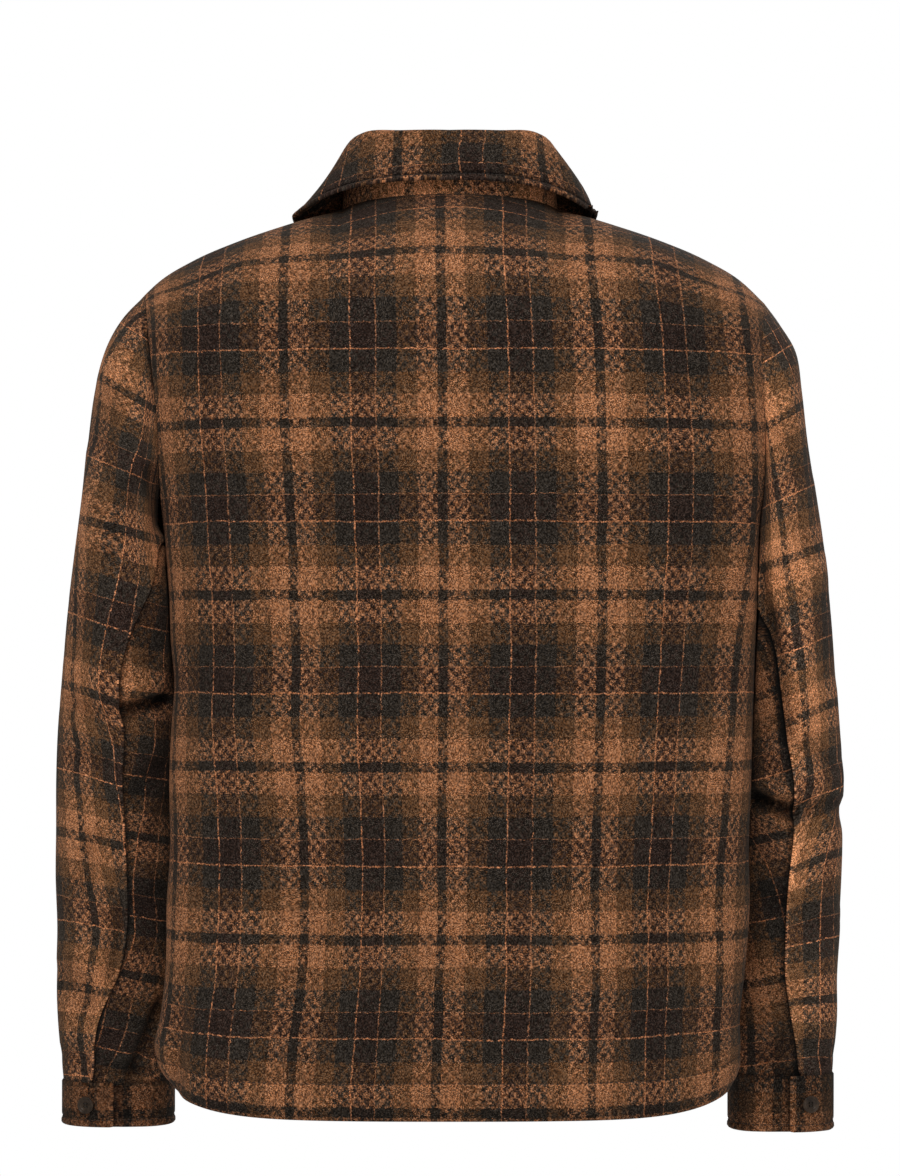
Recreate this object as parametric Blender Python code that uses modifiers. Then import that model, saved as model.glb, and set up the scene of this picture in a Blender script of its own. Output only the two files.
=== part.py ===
"""Shacket, a plaid wool overshirt, standing as it is worn with its inside hollow.

Metres, +Z up. The front faces -Y, the back +Y, the wearer's left is +X.
The origin lies in the neck opening, level with the shoulder seams at the neck.
"""
import math
from collections import namedtuple

import bpy
import numpy as np
from mathutils import Vector

# Driving dimensions

CLOTH = 0.0020            # one layer of the brushed cloth
DOUBLED = 0.0030          # cuffs and collar, cut double
SEAM_GAP = 0.0003         # clear space left at every seam
GAP_MARGIN = 1.15         # makes up for seams that meet at a slant
TOUCH = 0.0015            # clear space between a sleeve and the side it hangs against
HEM_Z = -0.7127           # hem at the centre of the back
HEM_LIFT = 0.0145         # how much higher the hem lies at the sides
HEM_LIFT_POWER = 7        # how close to the sides the hem starts to rise
HEM_LIFT_REACH = 0.080    # height over which that rise fades out
UNDERARM_Z = -0.285       # where the side seam meets the armhole
LEAN_START = Vector((0.30, 0.03, 0.42))   # how the bend over the shoulder sets out
LEAN_END = Vector((0.25, 0.52, 0.04))     # and how it comes in at the top edge
LEAN_AT_NECK = 0.20       # it comes in steeper at the neck
LEAN_NECK = 0.115         # within this distance of the middle
LEAN_BLEND = 0.050
RING_MID_Y = 0.030        # depth at which the body is widest
RING_POWER = 2.6          # squareness of the body's cross-section
SEAM_Y = -0.005           # depth of the side and shoulder seams
SLEEVE_POWER = 2.3        # squareness of a sleeve's cross-section
NECK_HALF = 0.088         # neck opening, half its width
NECK_MID_Y = -0.030
NECK_DEPTH = 0.0755       # neck opening, half its depth
NECK_BACK_Z = 0.013
NECK_SIDE_DROP = 0.007
NECK_FRONT_DROP = 0.074
NECK_SEAM_ANGLE = math.radians(74.6)   # where the shoulder seam meets the neck
FRONT_LAP = 0.016         # each front runs this far past the centre line
LAP_TURN = FRONT_LAP / 0.2   # turn of the section that covers that lap
LAP_FORWARD = 0.0012      # how far back each front's neck edge turns past the centre
LAP_RISE = 0.0016         # how much each front's neck edge climbs past the centre
LAP_BLEND = 0.080         # the lower front starts to drop this far from the centre
LAP_EASE = 0.040          # and is fully under the upper one this much nearer to it
CUFF_LAP = 60.0           # degrees of a cuff that lie under its own end
CUFF_EASE = (45.0, 40.0)  # the lower end starts this far past the lap, and takes this long
WRIST_RADIUS = 0.041      # of the cuffs, where their buttons lie
CUFF_PROUD = 0.0014       # how far a cuff stands out from the sleeve's end
COLLAR_OPENING = 0.005    # gap between the collar's two front ends
FOLD_FADE = 0.040         # folds of the back fade out this near its seams
STAND_LEAN = -0.003       # how far the collar stand leans out at its top
FOLD_RISE = 0.0045        # rise of the rolled fold over the stand
FOLD_CREST = 0.0035       # how far out the top of the fold lies
FOLD_BROW = (0.0080, 0.0015)   # out and up to where the fall starts down
FALL_SWELL = {"left": -0.0020, "right": 0.0045}   # how far the collar's fall bellies out
FALL_EDGE = {"left": 0.1272, "right": 0.1180}   # the fall's reach over each shoulder
FALL_BACK_Y = 0.059       # the fall's lower edge at the centre back
FALL_BACK_Z = 0.0238
FALL_SIDE_Y = -0.020      # and over the shoulders
FALL_SIDE_Z = 0.0015
FALL_DROP = 3.2           # how late round the neck it drops from one to the other
COLLAR_POINT = Vector((0.062, -0.145, -0.1003))   # the collar's front corners
COLLAR_RUN = Vector((1.5, 0.9, 1.3))   # how evenly its edge runs to them
FALL_CLEAR = 0.0040       # clear space under the collar's fall where it lies on the body
FALL_REACH = 0.030        # the fall looks this far for the panel below it
CUFF_BUTTON = 0.0140
FRONT_BUTTON = 0.0180
BUTTON_COUNT = 6
BUTTON_TOP_Z = -0.125
BUTTON_END_Z = -0.655
BUTTON_PROFILE = ((0.0, 0.24), (0.64, 0.26), (0.76, 0.36), (0.90, 0.38), (1.0, 0.30),
                  (1.0, 0.22), (0.82, 0.0), (0.0, 0.0))   # out and up, in button radii
BUTTON_STEPS = 18

# Body: widths are measured from the middle to the widest point on each side,
# or to the armhole seam above the underarm. Depths are those of the outer face.

Body = namedtuple("Body", "z left right back front")
BODY = (
    Body(-0.7127, 0.2195, 0.2215, 0.126, -0.118),
    Body(-0.6980, 0.2275, 0.2280, 0.128, -0.120),
    Body(-0.6730, 0.2350, 0.2310, 0.129, -0.121),
    Body(-0.6460, 0.2310, 0.2305, 0.129, -0.122),
    Body(-0.6000, 0.2262, 0.2350, 0.129, -0.123),
    Body(-0.5500, 0.2255, 0.2385, 0.129, -0.124),
    Body(-0.5100, 0.2230, 0.2378, 0.130, -0.124),
    Body(-0.4540, 0.2235, 0.2397, 0.131, -0.125),
    Body(-0.4116, 0.2222, 0.2408, 0.132, -0.125),
    Body(-0.3760, 0.2198, 0.2420, 0.133, -0.125),
    Body(-0.3420, 0.2225, 0.2432, 0.134, -0.126),
    Body(-0.3100, 0.2235, 0.2446, 0.135, -0.126),
    Body(-0.2620, 0.2270, 0.2460, 0.136, -0.127),
    Body(-0.2140, 0.2290, 0.2480, 0.137, -0.127),
    Body(-0.1740, 0.2300, 0.2475, 0.137, -0.126),
    Body(-0.1410, 0.2330, 0.2462, 0.136, -0.125),
    Body(-0.1000, 0.2388, 0.2470, 0.132, -0.121),
)

# Depth of the armhole seam at the back and at the front, by height

Armhole = namedtuple("Armhole", "z back front")
ARMHOLE = (
    Armhole(-0.285, -0.005, -0.005),
    Armhole(-0.272, 0.016, -0.024),
    Armhole(-0.255, 0.034, -0.042),
    Armhole(-0.230, 0.052, -0.058),
    Armhole(-0.200, 0.063, -0.068),
    Armhole(-0.165, 0.068, -0.071),
    Armhole(-0.130, 0.065, -0.067),
    Armhole(-0.100, 0.054, -0.056),
)

# Shoulder line, the highest line of the garment from the neck outwards

Shoulder = namedtuple("Shoulder", "x z")
SHOULDER = (
    Shoulder(0.0848, 0.0080),
    Shoulder(0.1280, -0.0050),
    Shoulder(0.1700, -0.0194),
    Shoulder(0.2070, -0.0355),
    Shoulder(0.2340, -0.0517),
    Shoulder(0.2540, -0.0700),
)
ARMHOLE_TOP = {"left": 0.246, "right": 0.254}

# Sleeves: each row is one section, from its outermost to its innermost point.
# The seam columns give the back seam as degrees round the section from outermost.

Sleeve = namedtuple("Sleeve", "outer_z inner_z left_out left_in right_out right_in mid_y depth"
                              " left_seam right_seam")
SLEEVE = (
    Sleeve(-0.064, -0.285, 0.2460, 0.2250, 0.2540, 0.2400, -0.003, 0.0700, 128, 128),
    Sleeve(-0.084, -0.292, 0.2650, 0.2220, 0.2665, 0.2370, -0.003, 0.0720, 126, 130),
    Sleeve(-0.108, -0.299, 0.2780, 0.2210, 0.2790, 0.2360, -0.004, 0.0740, 125, 131),
    Sleeve(-0.140, -0.307, 0.2865, 0.2200, 0.2835, 0.2350, -0.006, 0.0755, 125, 132),
    Sleeve(-0.180, -0.316, 0.2922, 0.2190, 0.2880, 0.2340, -0.008, 0.0765, 123, 132),
    Sleeve(-0.225, -0.327, 0.2970, 0.2180, 0.2955, 0.2330, -0.011, 0.0770, 117, 131),
    Sleeve(-0.275, -0.341, 0.3038, 0.2180, 0.3035, 0.2330, -0.015, 0.0770, 108, 124),
    Sleeve(-0.325, -0.360, 0.3100, 0.2180, 0.3090, 0.2330, -0.019, 0.0760, 97, 110),
    Sleeve(-0.372, -0.386, 0.3142, 0.2180, 0.3128, 0.2320, -0.023, 0.0740, 92, 102),
    Sleeve(-0.415, -0.420, 0.3180, 0.2180, 0.3162, 0.2320, -0.027, 0.0720, 97, 96),
    Sleeve(-0.455, -0.456, 0.3198, 0.2180, 0.3196, 0.2320, -0.031, 0.0700, 96, 91),
    Sleeve(-0.495, -0.495, 0.3203, 0.2180, 0.3192, 0.2310, -0.035, 0.0670, 98, 90),
    Sleeve(-0.535, -0.535, 0.3212, 0.2180, 0.3190, 0.2290, -0.040, 0.0640, 99, 92),
    Sleeve(-0.575, -0.575, 0.3203, 0.2180, 0.3182, 0.2270, -0.044, 0.0600, 98, 92),
    Sleeve(-0.615, -0.615, 0.3215, 0.2190, 0.3162, 0.2250, -0.048, 0.0550, 91, 90),
    Sleeve(-0.655, -0.655, 0.3205, 0.2230, 0.3165, 0.2250, -0.052, 0.0470, 76, 84),
    Sleeve(-0.7010, -0.7010, 0.3165, 0.2270, 0.3130, 0.2290, -0.056, 0.0370, 67, 73),
)
WRIST_SHIFT = {"left": -0.0010, "right": 0.0045}   # height of each sleeve's end
DEGREE = 0.00102          # length of one degree round a sleeve
FRONT_SEAM = -130.0       # degrees round a sleeve where its front seam runs
UNDERARM_STEPS = 3        # sleeve columns for each body row near the underarm
CAP_SECTIONS = 5.0        # sections over which a sleeve leaves the armhole's shape
EVEN_AFTER = 6.0          # sections after which its columns are evenly spread

Cuff = namedtuple("Cuff", "top bottom end_deg button_deg")
CUFF = {
    "left": Cuff(-0.7023, -0.7353, 88.0, 63.0),
    "right": Cuff(-0.6968, -0.7394, 84.0, 64.0),
}

# Creases pressed into the sleeves: height and turn where each starts and ends,
# depth into the cloth (proud if negative) and half width.

Crease = namedtuple("Crease", "deg_a z_a deg_b z_b depth width")
CREASES = {
    "left": (
        Crease(90, -0.397, 150, -0.388, 0.0060, 0.012),
        Crease(90, -0.372, 150, -0.360, -0.0030, 0.014),
        Crease(95, -0.520, 165, -0.470, 0.0035, 0.016),
        Crease(20, -0.620, 75, -0.640, 0.0030, 0.014),
        Crease(60, -0.688, 150, -0.684, 0.0030, 0.010),
    ),
    "right": (
        Crease(60, -0.481, 150, -0.466, 0.0060, 0.012),
        Crease(20, -0.455, 130, -0.440, -0.0030, 0.016),
        Crease(-10, -0.484, 40, -0.481, 0.0030, 0.010),
        Crease(60, -0.560, 150, -0.590, 0.0030, 0.016),
        Crease(60, -0.688, 150, -0.684, 0.0030, 0.010),
    ),
}

# Folds of the back: where each line starts and ends, across and up, its depth
# (proud if negative) and half width.

Fold = namedtuple("Fold", "x_a z_a x_b z_b depth width")
FOLDS = (
    Fold(-0.2130, -0.520, -0.2130, -0.700, -0.0022, 0.0060),
    Fold(-0.2020, -0.500, -0.2020, -0.700, 0.0012, 0.0080),
    Fold(0.2160, -0.630, 0.2140, -0.706, 0.0030, 0.0070),
    Fold(-0.2400, -0.110, -0.2410, -0.300, -0.0012, 0.0050),
)

# Height of the collar's fold over the neck seam, by turn from the centre back

Rise = namedtuple("Rise", "turn rise")
COLLAR_RISE = (
    Rise(0, 0.0505),
    Rise(25, 0.0520),
    Rise(50, 0.0549),
    Rise(60, 0.0524),
    Rise(68, 0.0475),
    Rise(75, 0.0435),
    Rise(90, 0.0400),
    Rise(120, 0.0340),
    Rise(180, 0.0280),
)

COLOURS = {
    "back": (0.115, 0.066, 0.036, 1.0),
    "front": (0.125, 0.070, 0.038, 1.0),
    "sleeve": (0.105, 0.060, 0.034, 1.0),
    "under_sleeve": (0.090, 0.052, 0.030, 1.0),
    "cuff": (0.120, 0.070, 0.040, 1.0),
    "collar": (0.100, 0.056, 0.032, 1.0),
    "button": (0.045, 0.034, 0.027, 1.0),
}

# Resolution

BACK_NECK_COLUMNS = 12
SHOULDER_COLUMNS = 9
FRONT_NECK_COLUMNS = 5
OVERHANG_ROWS = 6
LOWER_ROWS = (-0.698, -0.686, -0.670, -0.645, -0.610, -0.570, -0.530, -0.490,
              -0.450, -0.412, -0.376, -0.342, -0.312)
ARMHOLE_ROWS = (-0.285, -0.263, -0.238, -0.210, -0.175, -0.138, -0.100)
UNDER_ROW = 1             # armhole row at which the sleeve's own seams start
CUFF_COLUMNS = 30
CUFF_ROWS = 2
STAND_ROWS = 2
FALL_ROWS = 6
SECTION_SAMPLES = 161     # points of a section before it is shared out
UPPER_ROWS = 12           # rows of the body that the collar's fall can touch


# Curves

def smooth(t):
    """Ease from 0 to 1."""
    t = np.clip(t, 0.0, 1.0)
    return t * t * (3.0 - 2.0 * t)


def curve(xs, ys, at):
    """Read a smooth curve through the given values."""
    xs = np.array(xs, float)
    ys = np.array(ys, float)
    slope = np.gradient(ys, xs)
    at = np.clip(at, xs[0], xs[-1])
    k = np.clip(np.searchsorted(xs, at, side="right") - 1, 0, len(xs) - 2)
    h = xs[k + 1] - xs[k]
    t = (at - xs[k]) / h
    a = (1 + 2 * t) * (1 - t) ** 2
    b = t * (1 - t) ** 2
    c = t * t * (3 - 2 * t)
    d = t * t * (t - 1)
    return a * ys[k] + b * h * slope[k] + c * ys[k + 1] + d * h * slope[k + 1]


def read(table, key, name, at):
    """Read one column of a table at any value of its key, on a smooth curve."""
    return curve([getattr(row, key) for row in table], [getattr(row, name) for row in table], at)


def along(line, fractions):
    """Points at the given fractions of a polyline's length."""
    line = np.asarray(line, float)
    steps = np.linalg.norm(np.diff(line, axis=0), axis=1)
    run = np.concatenate([[0.0], np.cumsum(steps)])
    run /= run[-1]
    return np.stack([np.interp(fractions, run, line[:, k]) for k in range(3)], axis=1)


def power_cos(angle, power):
    """Cosine of a superellipse."""
    c = np.cos(angle)
    return np.sign(c) * np.abs(c) ** (2.0 / power)


def power_sin(angle, power):
    """Sine of a superellipse."""
    s = np.sin(angle)
    return np.sign(s) * np.abs(s) ** (2.0 / power)


def normals(grid):
    """Unit normals of a grid of points, columns crossed with rows."""
    across = np.gradient(grid, axis=1)
    up = np.gradient(grid, axis=0)
    n = np.cross(across, up)
    length = np.linalg.norm(n, axis=2, keepdims=True)
    return n / np.maximum(length, 1e-12)


def line_weight(x, z, ax, az, bx, bz, width):
    """Strength of a soft trough along the line from a to b, fading at its ends."""
    dx, dz = bx - ax, bz - az
    length2 = dx * dx + dz * dz
    t = ((x - ax) * dx + (z - az) * dz) / length2
    inside = np.clip(t, 0.0, 1.0)
    gap = np.hypot(x - ax - inside * dx, z - az - inside * dz)
    ends = np.clip(np.minimum(t, 1.0 - t) * 5.0 + 0.25, 0.0, 1.0)
    return smooth(ends) * np.exp(-(gap / width) ** 2)


# Body surface

def side_depths(z):
    """Depth of the body's two edges at a height, at the back and at the front."""
    if z <= UNDERARM_Z:
        return SEAM_Y, SEAM_Y
    return float(read(ARMHOLE, "z", "back", z)), float(read(ARMHOLE, "z", "front", z))


def ring_size(z):
    """Centre, half width and the depths behind and before the widest line."""
    left = float(read(BODY, "z", "left", z))
    right = float(read(BODY, "z", "right", z))
    back = float(read(BODY, "z", "back", z)) - RING_MID_Y
    front = RING_MID_Y - float(read(BODY, "z", "front", z))
    half = 0.5 * (left + right)
    edge = (side_depths(z)[0] - RING_MID_Y) / back
    if edge > 0.0:
        half /= (1.0 - edge ** RING_POWER) ** (1.0 / RING_POWER)
    return 0.5 * (left - right), half, back, front


def ring_point(z, angle):
    """A point of the body's section, its angle counted from +X over the back."""
    mid, half, back, front = ring_size(z)
    s = power_sin(angle, RING_POWER)
    depth = np.where(s > 0, back, front)
    x = mid + half * power_cos(angle, RING_POWER)
    y = RING_MID_Y + depth * s
    return x, y


def angle_at(z, y):
    """Angle of the section's left side at depth y."""
    _, _, back, front = ring_size(z)
    s = (y - RING_MID_Y) / (back if y > RING_MID_Y else front)
    return math.asin(math.copysign(abs(s) ** (RING_POWER / 2.0), s))


def hem_lift(x, z):
    """The hem lies a little higher at the sides; this fades out above it."""
    rise = min(1.0, abs(x) / BODY[0].left) ** HEM_LIFT_POWER
    return HEM_LIFT * rise * max(0.0, 1.0 - (z - HEM_Z) / HEM_LIFT_REACH)


def back_level(z, fractions):
    """One level row of the back, from the left edge to the right edge."""
    edge = angle_at(z, side_depths(z)[0])
    angles = np.linspace(edge, math.pi - edge, SECTION_SAMPLES)
    x, y = ring_point(z, angles)
    lift = [hem_lift(a, z) for a in x]
    row = along(np.stack([x, y, z + np.array(lift)], axis=1), fractions)
    away_from_seam = smooth((row[:, 1] - side_depths(z)[0]) / FOLD_FADE)
    for fold in FOLDS:
        weight = line_weight(row[:, 0], row[:, 2], fold.x_a, fold.z_a, fold.x_b, fold.z_b,
                             fold.width)
        row[:, 1] -= fold.depth * weight * away_from_seam
    return row


def front_level(z, side, fractions):
    """One level row of a front, from the side seam to past the centre line."""
    edge = angle_at(z, side_depths(z)[1])
    angles = np.linspace(edge, -math.pi / 2 - LAP_TURN, SECTION_SAMPLES)
    if side == "right":
        angles = math.pi - angles
    x, y = ring_point(z, angles)
    lift = [hem_lift(a, z) for a in x]
    return split_at_centre(np.stack([x, y, z + np.array(lift)], axis=1), side, fractions)


def split_at_centre(line, side, fractions):
    """Share a front's columns so that one lies on the centre line."""
    sign = 1.0 if side == "left" else -1.0
    x = line[:, 0] * sign
    k = int(np.argmax(x < 0.0))
    t = x[k - 1] / (x[k - 1] - x[k])
    middle = line[k - 1] + t * (line[k] - line[k - 1])
    body = along(np.vstack([line[:k], middle]), fractions)
    past = middle + (line[-1] - middle) * (FRONT_LAP / max(1e-6, abs(line[-1, 0] - middle[0])))
    return np.vstack([body, past])


def neck_point(angle):
    """A point of the neck seam, its angle counted from the centre back to the left."""
    c, s = math.cos(angle), math.sin(angle)
    z = NECK_BACK_Z - NECK_SIDE_DROP * (1.0 - max(c, 0.0)) - NECK_FRONT_DROP * max(0.0, -c) ** 1.5
    return np.array([NECK_HALF * s, NECK_MID_Y + NECK_DEPTH * c, z])


def shoulder_line(side, count):
    """The shoulder seam from the neck to the armhole."""
    sign = 1.0 if side == "left" else -1.0
    neck = neck_point(NECK_SEAM_ANGLE)
    xs = np.linspace(abs(neck[0]), ARMHOLE_TOP[side], count)
    zs = read(SHOULDER, "x", "z", xs)
    ys = np.linspace(neck[1], SEAM_Y, count)
    points = np.stack([sign * xs, ys, zs], axis=1)
    points[0] = neck * [sign, 1.0, 1.0]
    return points


def back_top(neck_columns, shoulder_columns):
    """Top edge of the back, from the left armhole over the neck to the right."""
    left = shoulder_line("left", shoulder_columns + 1)[::-1]
    right = shoulder_line("right", shoulder_columns + 1)
    angles = np.linspace(NECK_SEAM_ANGLE, -NECK_SEAM_ANGLE, neck_columns + 1)[1:-1]
    neck = np.array([neck_point(a) for a in angles])
    return np.vstack([left, neck, right])


def front_top(side, neck_columns, shoulder_columns):
    """Top edge of a front, from the armhole along the neck to past the centre."""
    sign = 1.0 if side == "left" else -1.0
    shoulder = shoulder_line(side, shoulder_columns + 1)[::-1]
    angles = np.linspace(NECK_SEAM_ANGLE, math.pi, neck_columns + 1)[1:]
    neck = np.array([neck_point(a) * [sign, 1.0, 1.0] for a in angles])
    past = neck[-1] + np.array([-sign * FRONT_LAP, LAP_FORWARD, LAP_RISE])
    return np.vstack([shoulder, neck, past])


def edge_fractions(edge):
    """Fractions of an edge's length at its points."""
    steps = np.linalg.norm(np.diff(edge, axis=0), axis=1)
    run = np.concatenate([[0.0], np.cumsum(steps)])
    return run / run[-1]


def lean_over(level, top, rows):
    """Rows that bend from the last level row over the shoulder to the top edge."""
    neck_share = smooth((LEAN_NECK - np.abs(top[:, 0])) / LEAN_BLEND)[:, None]
    rise = (top[:, 2:3] - level[:, 2:3])
    run = (top[:, 1:2] - level[:, 1:2])
    first = level.copy()
    first[:, 0:1] += LEAN_START.x * (top[:, 0:1] - level[:, 0:1])
    first[:, 1:2] += LEAN_START.y * run
    first[:, 2:3] += LEAN_START.z * rise
    second = top.copy()
    second[:, 0:1] -= LEAN_END.x * (top[:, 0:1] - level[:, 0:1])
    second[:, 1:2] -= LEAN_END.y * run
    second[:, 2:3] -= (LEAN_END.z + LEAN_AT_NECK * neck_share) * rise
    grid = []
    for t in rows:
        grid.append((1 - t) ** 3 * level + 3 * t * (1 - t) ** 2 * first
                    + 3 * t * t * (1 - t) * second + t ** 3 * top)
    return np.array(grid)


def level_heights():
    """Heights of the level rows."""
    return (HEM_Z,) + LOWER_ROWS + ARMHOLE_ROWS


def make_back():
    """Outer points of the back, bottom row first, left edge to right edge."""
    top = back_top(BACK_NECK_COLUMNS, SHOULDER_COLUMNS)
    share = edge_fractions(top)
    level = np.array([back_level(z, share) for z in level_heights()])
    steps = np.linspace(0.0, 1.0, OVERHANG_ROWS + 1)[1:]
    return np.concatenate([level, lean_over(level[-1], top, steps)])


def make_front(side):
    """Outer points of a front, bottom row first, columns turning the same way."""
    top = front_top(side, FRONT_NECK_COLUMNS, SHOULDER_COLUMNS)
    share = edge_fractions(top[:-1])
    level = np.array([front_level(z, side, share) for z in level_heights()])
    steps = np.linspace(0.0, 1.0, OVERHANG_ROWS + 1)[1:]
    grid = np.concatenate([level, lean_over(level[-1], top, steps)])
    if side == "right":
        centre = grid[:, -2:-1, 0]
        under = smooth((LAP_BLEND - (centre - grid[:, :, 0])) / LAP_EASE)
        grid = grid - (CLOTH + 3 * SEAM_GAP) * under[:, :, None] * normals(grid)
    else:
        grid = grid[:, ::-1]
    return grid


# Sleeve surface, with x counted outwards from the middle of the garment

def armhole_line(back, fronts, side):
    """Armhole edge from the underarm up the back and down the front."""
    first = 1 + len(LOWER_ROWS)
    column = 0 if side == "left" else -1
    up = back[first:, column]
    front = fronts[side]
    down = front[first:, -1 if side == "left" else 0][::-1]
    line = np.vstack([up, down[1:]])
    if side == "right":
        line = line * [-1.0, 1.0, 1.0]
    return line


def sleeve_value(name, t):
    """Read a sleeve column by section number."""
    return float(curve(range(len(SLEEVE)), [getattr(row, name) for row in SLEEVE], t))


def sleeve_section(side, t, degrees):
    """Points of one section at the given turns, 0 outermost, 90 at the back."""
    angle = np.radians(np.asarray(degrees, float))
    out = np.array([sleeve_value(side + "_out", t), sleeve_value("outer_z", t)])
    inn = np.array([sleeve_value(side + "_in", t), sleeve_value("inner_z", t)])
    c = power_cos(angle, SLEEVE_POWER)
    s = power_sin(angle, SLEEVE_POWER)
    mid = 0.5 * (out + inn)
    half = 0.5 * (out - inn)
    x = mid[0] + half[0] * c
    z = mid[1] + half[1] * c
    z = z + WRIST_SHIFT[side] * smooth((-0.600 - z) / 0.101)
    y = sleeve_value("mid_y", t) + sleeve_value("depth", t) * s
    points = np.stack([x, y, z], axis=1)
    return points - crease_depth(side, points, np.asarray(degrees, float))[:, None] * outward(angle)


def outward(angle):
    """Direction out of a sleeve's section."""
    return np.stack([np.cos(angle), np.sin(angle), np.zeros_like(angle)], axis=1)


def crease_depth(side, points, degrees):
    """How deep the named creases lie at the given points of a section."""
    depth = np.zeros(len(points))
    for crease in CREASES[side]:
        depth += crease.depth * line_weight(degrees * DEGREE, points[:, 2], crease.deg_a * DEGREE,
                                            crease.z_a, crease.deg_b * DEGREE, crease.z_b,
                                            crease.width)
    return depth


def clear_of_body(points, side, clear):
    """Move sleeve points out where they would press into the side of the body."""
    moved = points.copy()
    sign = 1.0 if side == "left" else -1.0
    for p in moved:
        z = min(max(p[2], HEM_Z), UNDERARM_Z)
        mid, half, back, front = ring_size(z)
        s = (p[1] - RING_MID_Y) / (back if p[1] > RING_MID_Y else front)
        if abs(s) >= 1.0:
            continue
        wide = sign * mid + half * (1.0 - abs(s) ** RING_POWER) ** (1.0 / RING_POWER)
        p[0] = max(p[0], wide + clear)
    return moved


def make_sleeve(side, edge):
    """Outer points of the top sleeve and the under sleeve, wrist row first."""
    seam_b = UNDER_ROW
    seam_f = len(edge) - 1 - UNDER_ROW
    top_edge = edge[seam_b:seam_f + 1][::-1]
    under_edge = []
    ring = np.vstack([edge[seam_f:-1], edge[:seam_b + 1]])
    for a, b in zip(ring[:-1], ring[1:]):
        for k in range(UNDERARM_STEPS):
            under_edge.append(a + (b - a) * k / UNDERARM_STEPS)
    under_edge.append(ring[-1])
    under_edge = np.array(under_edge)[::-1]
    pieces = {}
    for name, piece_edge in (("top", top_edge), ("under", under_edge)):
        share0 = edge_fractions(piece_edge)
        uniform = np.linspace(0.0, 1.0, len(piece_edge))
        grid = []
        for t in range(1, len(SLEEVE)):
            seam = sleeve_value(side + "_seam", t)
            span = (FRONT_SEAM, seam) if name == "top" else (seam, FRONT_SEAM + 360.0)
            share = share0 + (uniform - share0) * min(1.0, t / EVEN_AFTER)
            dense = np.linspace(span[0], span[1], SECTION_SAMPLES)
            row = along(sleeve_section(side, t, dense), share)
            fade = max(0.0, 1.0 - t / CAP_SECTIONS) ** 2
            if fade > 0.0:
                seam0 = SLEEVE[0].left_seam
                span0 = (FRONT_SEAM, seam0) if name == "top" else (seam0, FRONT_SEAM + 360.0)
                ideal = along(sleeve_section(side, 0, np.linspace(span0[0], span0[1], SECTION_SAMPLES)), share0)
                row = row + fade * (piece_edge - ideal)
            grid.append(clear_of_body(row, side, TOUCH))
        grid = np.array([piece_edge] + grid)[::-1]
        if side == "right":
            grid = grid[:, ::-1] * [-1.0, 1.0, 1.0]
        pieces[name] = grid
    return pieces


# Solids

def material(kind):
    """Plain cloth or button colour."""
    mat = bpy.data.materials.get(kind)
    if mat is None:
        mat = bpy.data.materials.new(kind)
        mat.use_nodes = True
        shader = mat.node_tree.nodes["Principled BSDF"]
        shader.inputs["Base Color"].default_value = COLOURS[kind]
        shader.inputs["Roughness"].default_value = 0.45 if kind == "button" else 0.95
        shader.inputs["Metallic"].default_value = 0.0
    return mat


def add_object(name, mesh, kind, home):
    """Put a mesh in the garment's collection with its own material."""
    obj = bpy.data.objects.new(name, mesh)
    own = material(kind).copy()
    own.name = name
    mesh.materials.append(own)
    home.objects.link(obj)
    return obj


def pull_in(outer, inner, sides):
    """Draw the sewn edges of a panel back by half the seam gap."""
    half = 0.5 * SEAM_GAP * GAP_MARGIN
    moves = {"bottom": ((0, slice(None)), (1, slice(None))),
             "top": ((-1, slice(None)), (-2, slice(None))),
             "start": ((slice(None), 0), (slice(None), 1)),
             "end": ((slice(None), -1), (slice(None), -2))}
    for side in sides:
        at, toward = moves[side]
        for grid in (outer, inner):
            step = grid[toward] - grid[at]
            step /= np.linalg.norm(step, axis=-1, keepdims=True)
            grid[at] = grid[at] + step * half
    return outer, inner


def wall(name, outer, inner, kind, home):
    """Close an outer and an inner grid of points into one solid."""
    rows, cols = outer.shape[:2]
    count = rows * cols
    points = np.vstack([outer.reshape(-1, 3), inner.reshape(-1, 3)])
    faces = []
    for r in range(rows - 1):
        for c in range(cols - 1):
            a, b = r * cols + c, r * cols + c + 1
            d, e = a + cols, b + cols
            faces.append((a, b, e, d))
            faces.append((a + count, d + count, e + count, b + count))
    rim = [c for c in range(cols)]
    rim += [r * cols + cols - 1 for r in range(1, rows)]
    rim += [(rows - 1) * cols + c for c in range(cols - 2, -1, -1)]
    rim += [r * cols for r in range(rows - 2, 0, -1)]
    for a, b in zip(rim, rim[1:] + rim[:1]):
        faces.append((b, a, a + count, b + count))
    mesh = bpy.data.meshes.new(name)
    mesh.from_pydata([tuple(p) for p in points], [], faces)
    mesh.update()
    mesh.shade_smooth()
    mesh.set_sharp_from_angle(angle=math.radians(50))
    return add_object(name, mesh, kind, home)


def shared_normals(grids):
    """Normals of several panels, averaged where they meet at a smooth seam."""
    own = {name: normals(grid) for name, grid in grids.items()}
    met = {}
    for name, grid in grids.items():
        rows, cols = grid.shape[:2]
        for r in range(rows):
            for c in range(cols):
                if 0 < r < rows - 1 and 0 < c < cols - 1:
                    continue
                key = tuple(np.round(grid[r, c] * 20000).astype(int))
                met.setdefault(key, []).append((name, r, c))
    joined = {name: n.copy() for name, n in own.items()}
    for places in met.values():
        for name, r, c in places:
            mine = own[name][r, c]
            total = np.zeros(3)
            for other, i, j in places:
                theirs = own[other][i, j]
                if float(np.dot(mine, theirs)) > 0.25:
                    total += theirs
            joined[name][r, c] = total / np.linalg.norm(total)
    return joined


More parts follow.
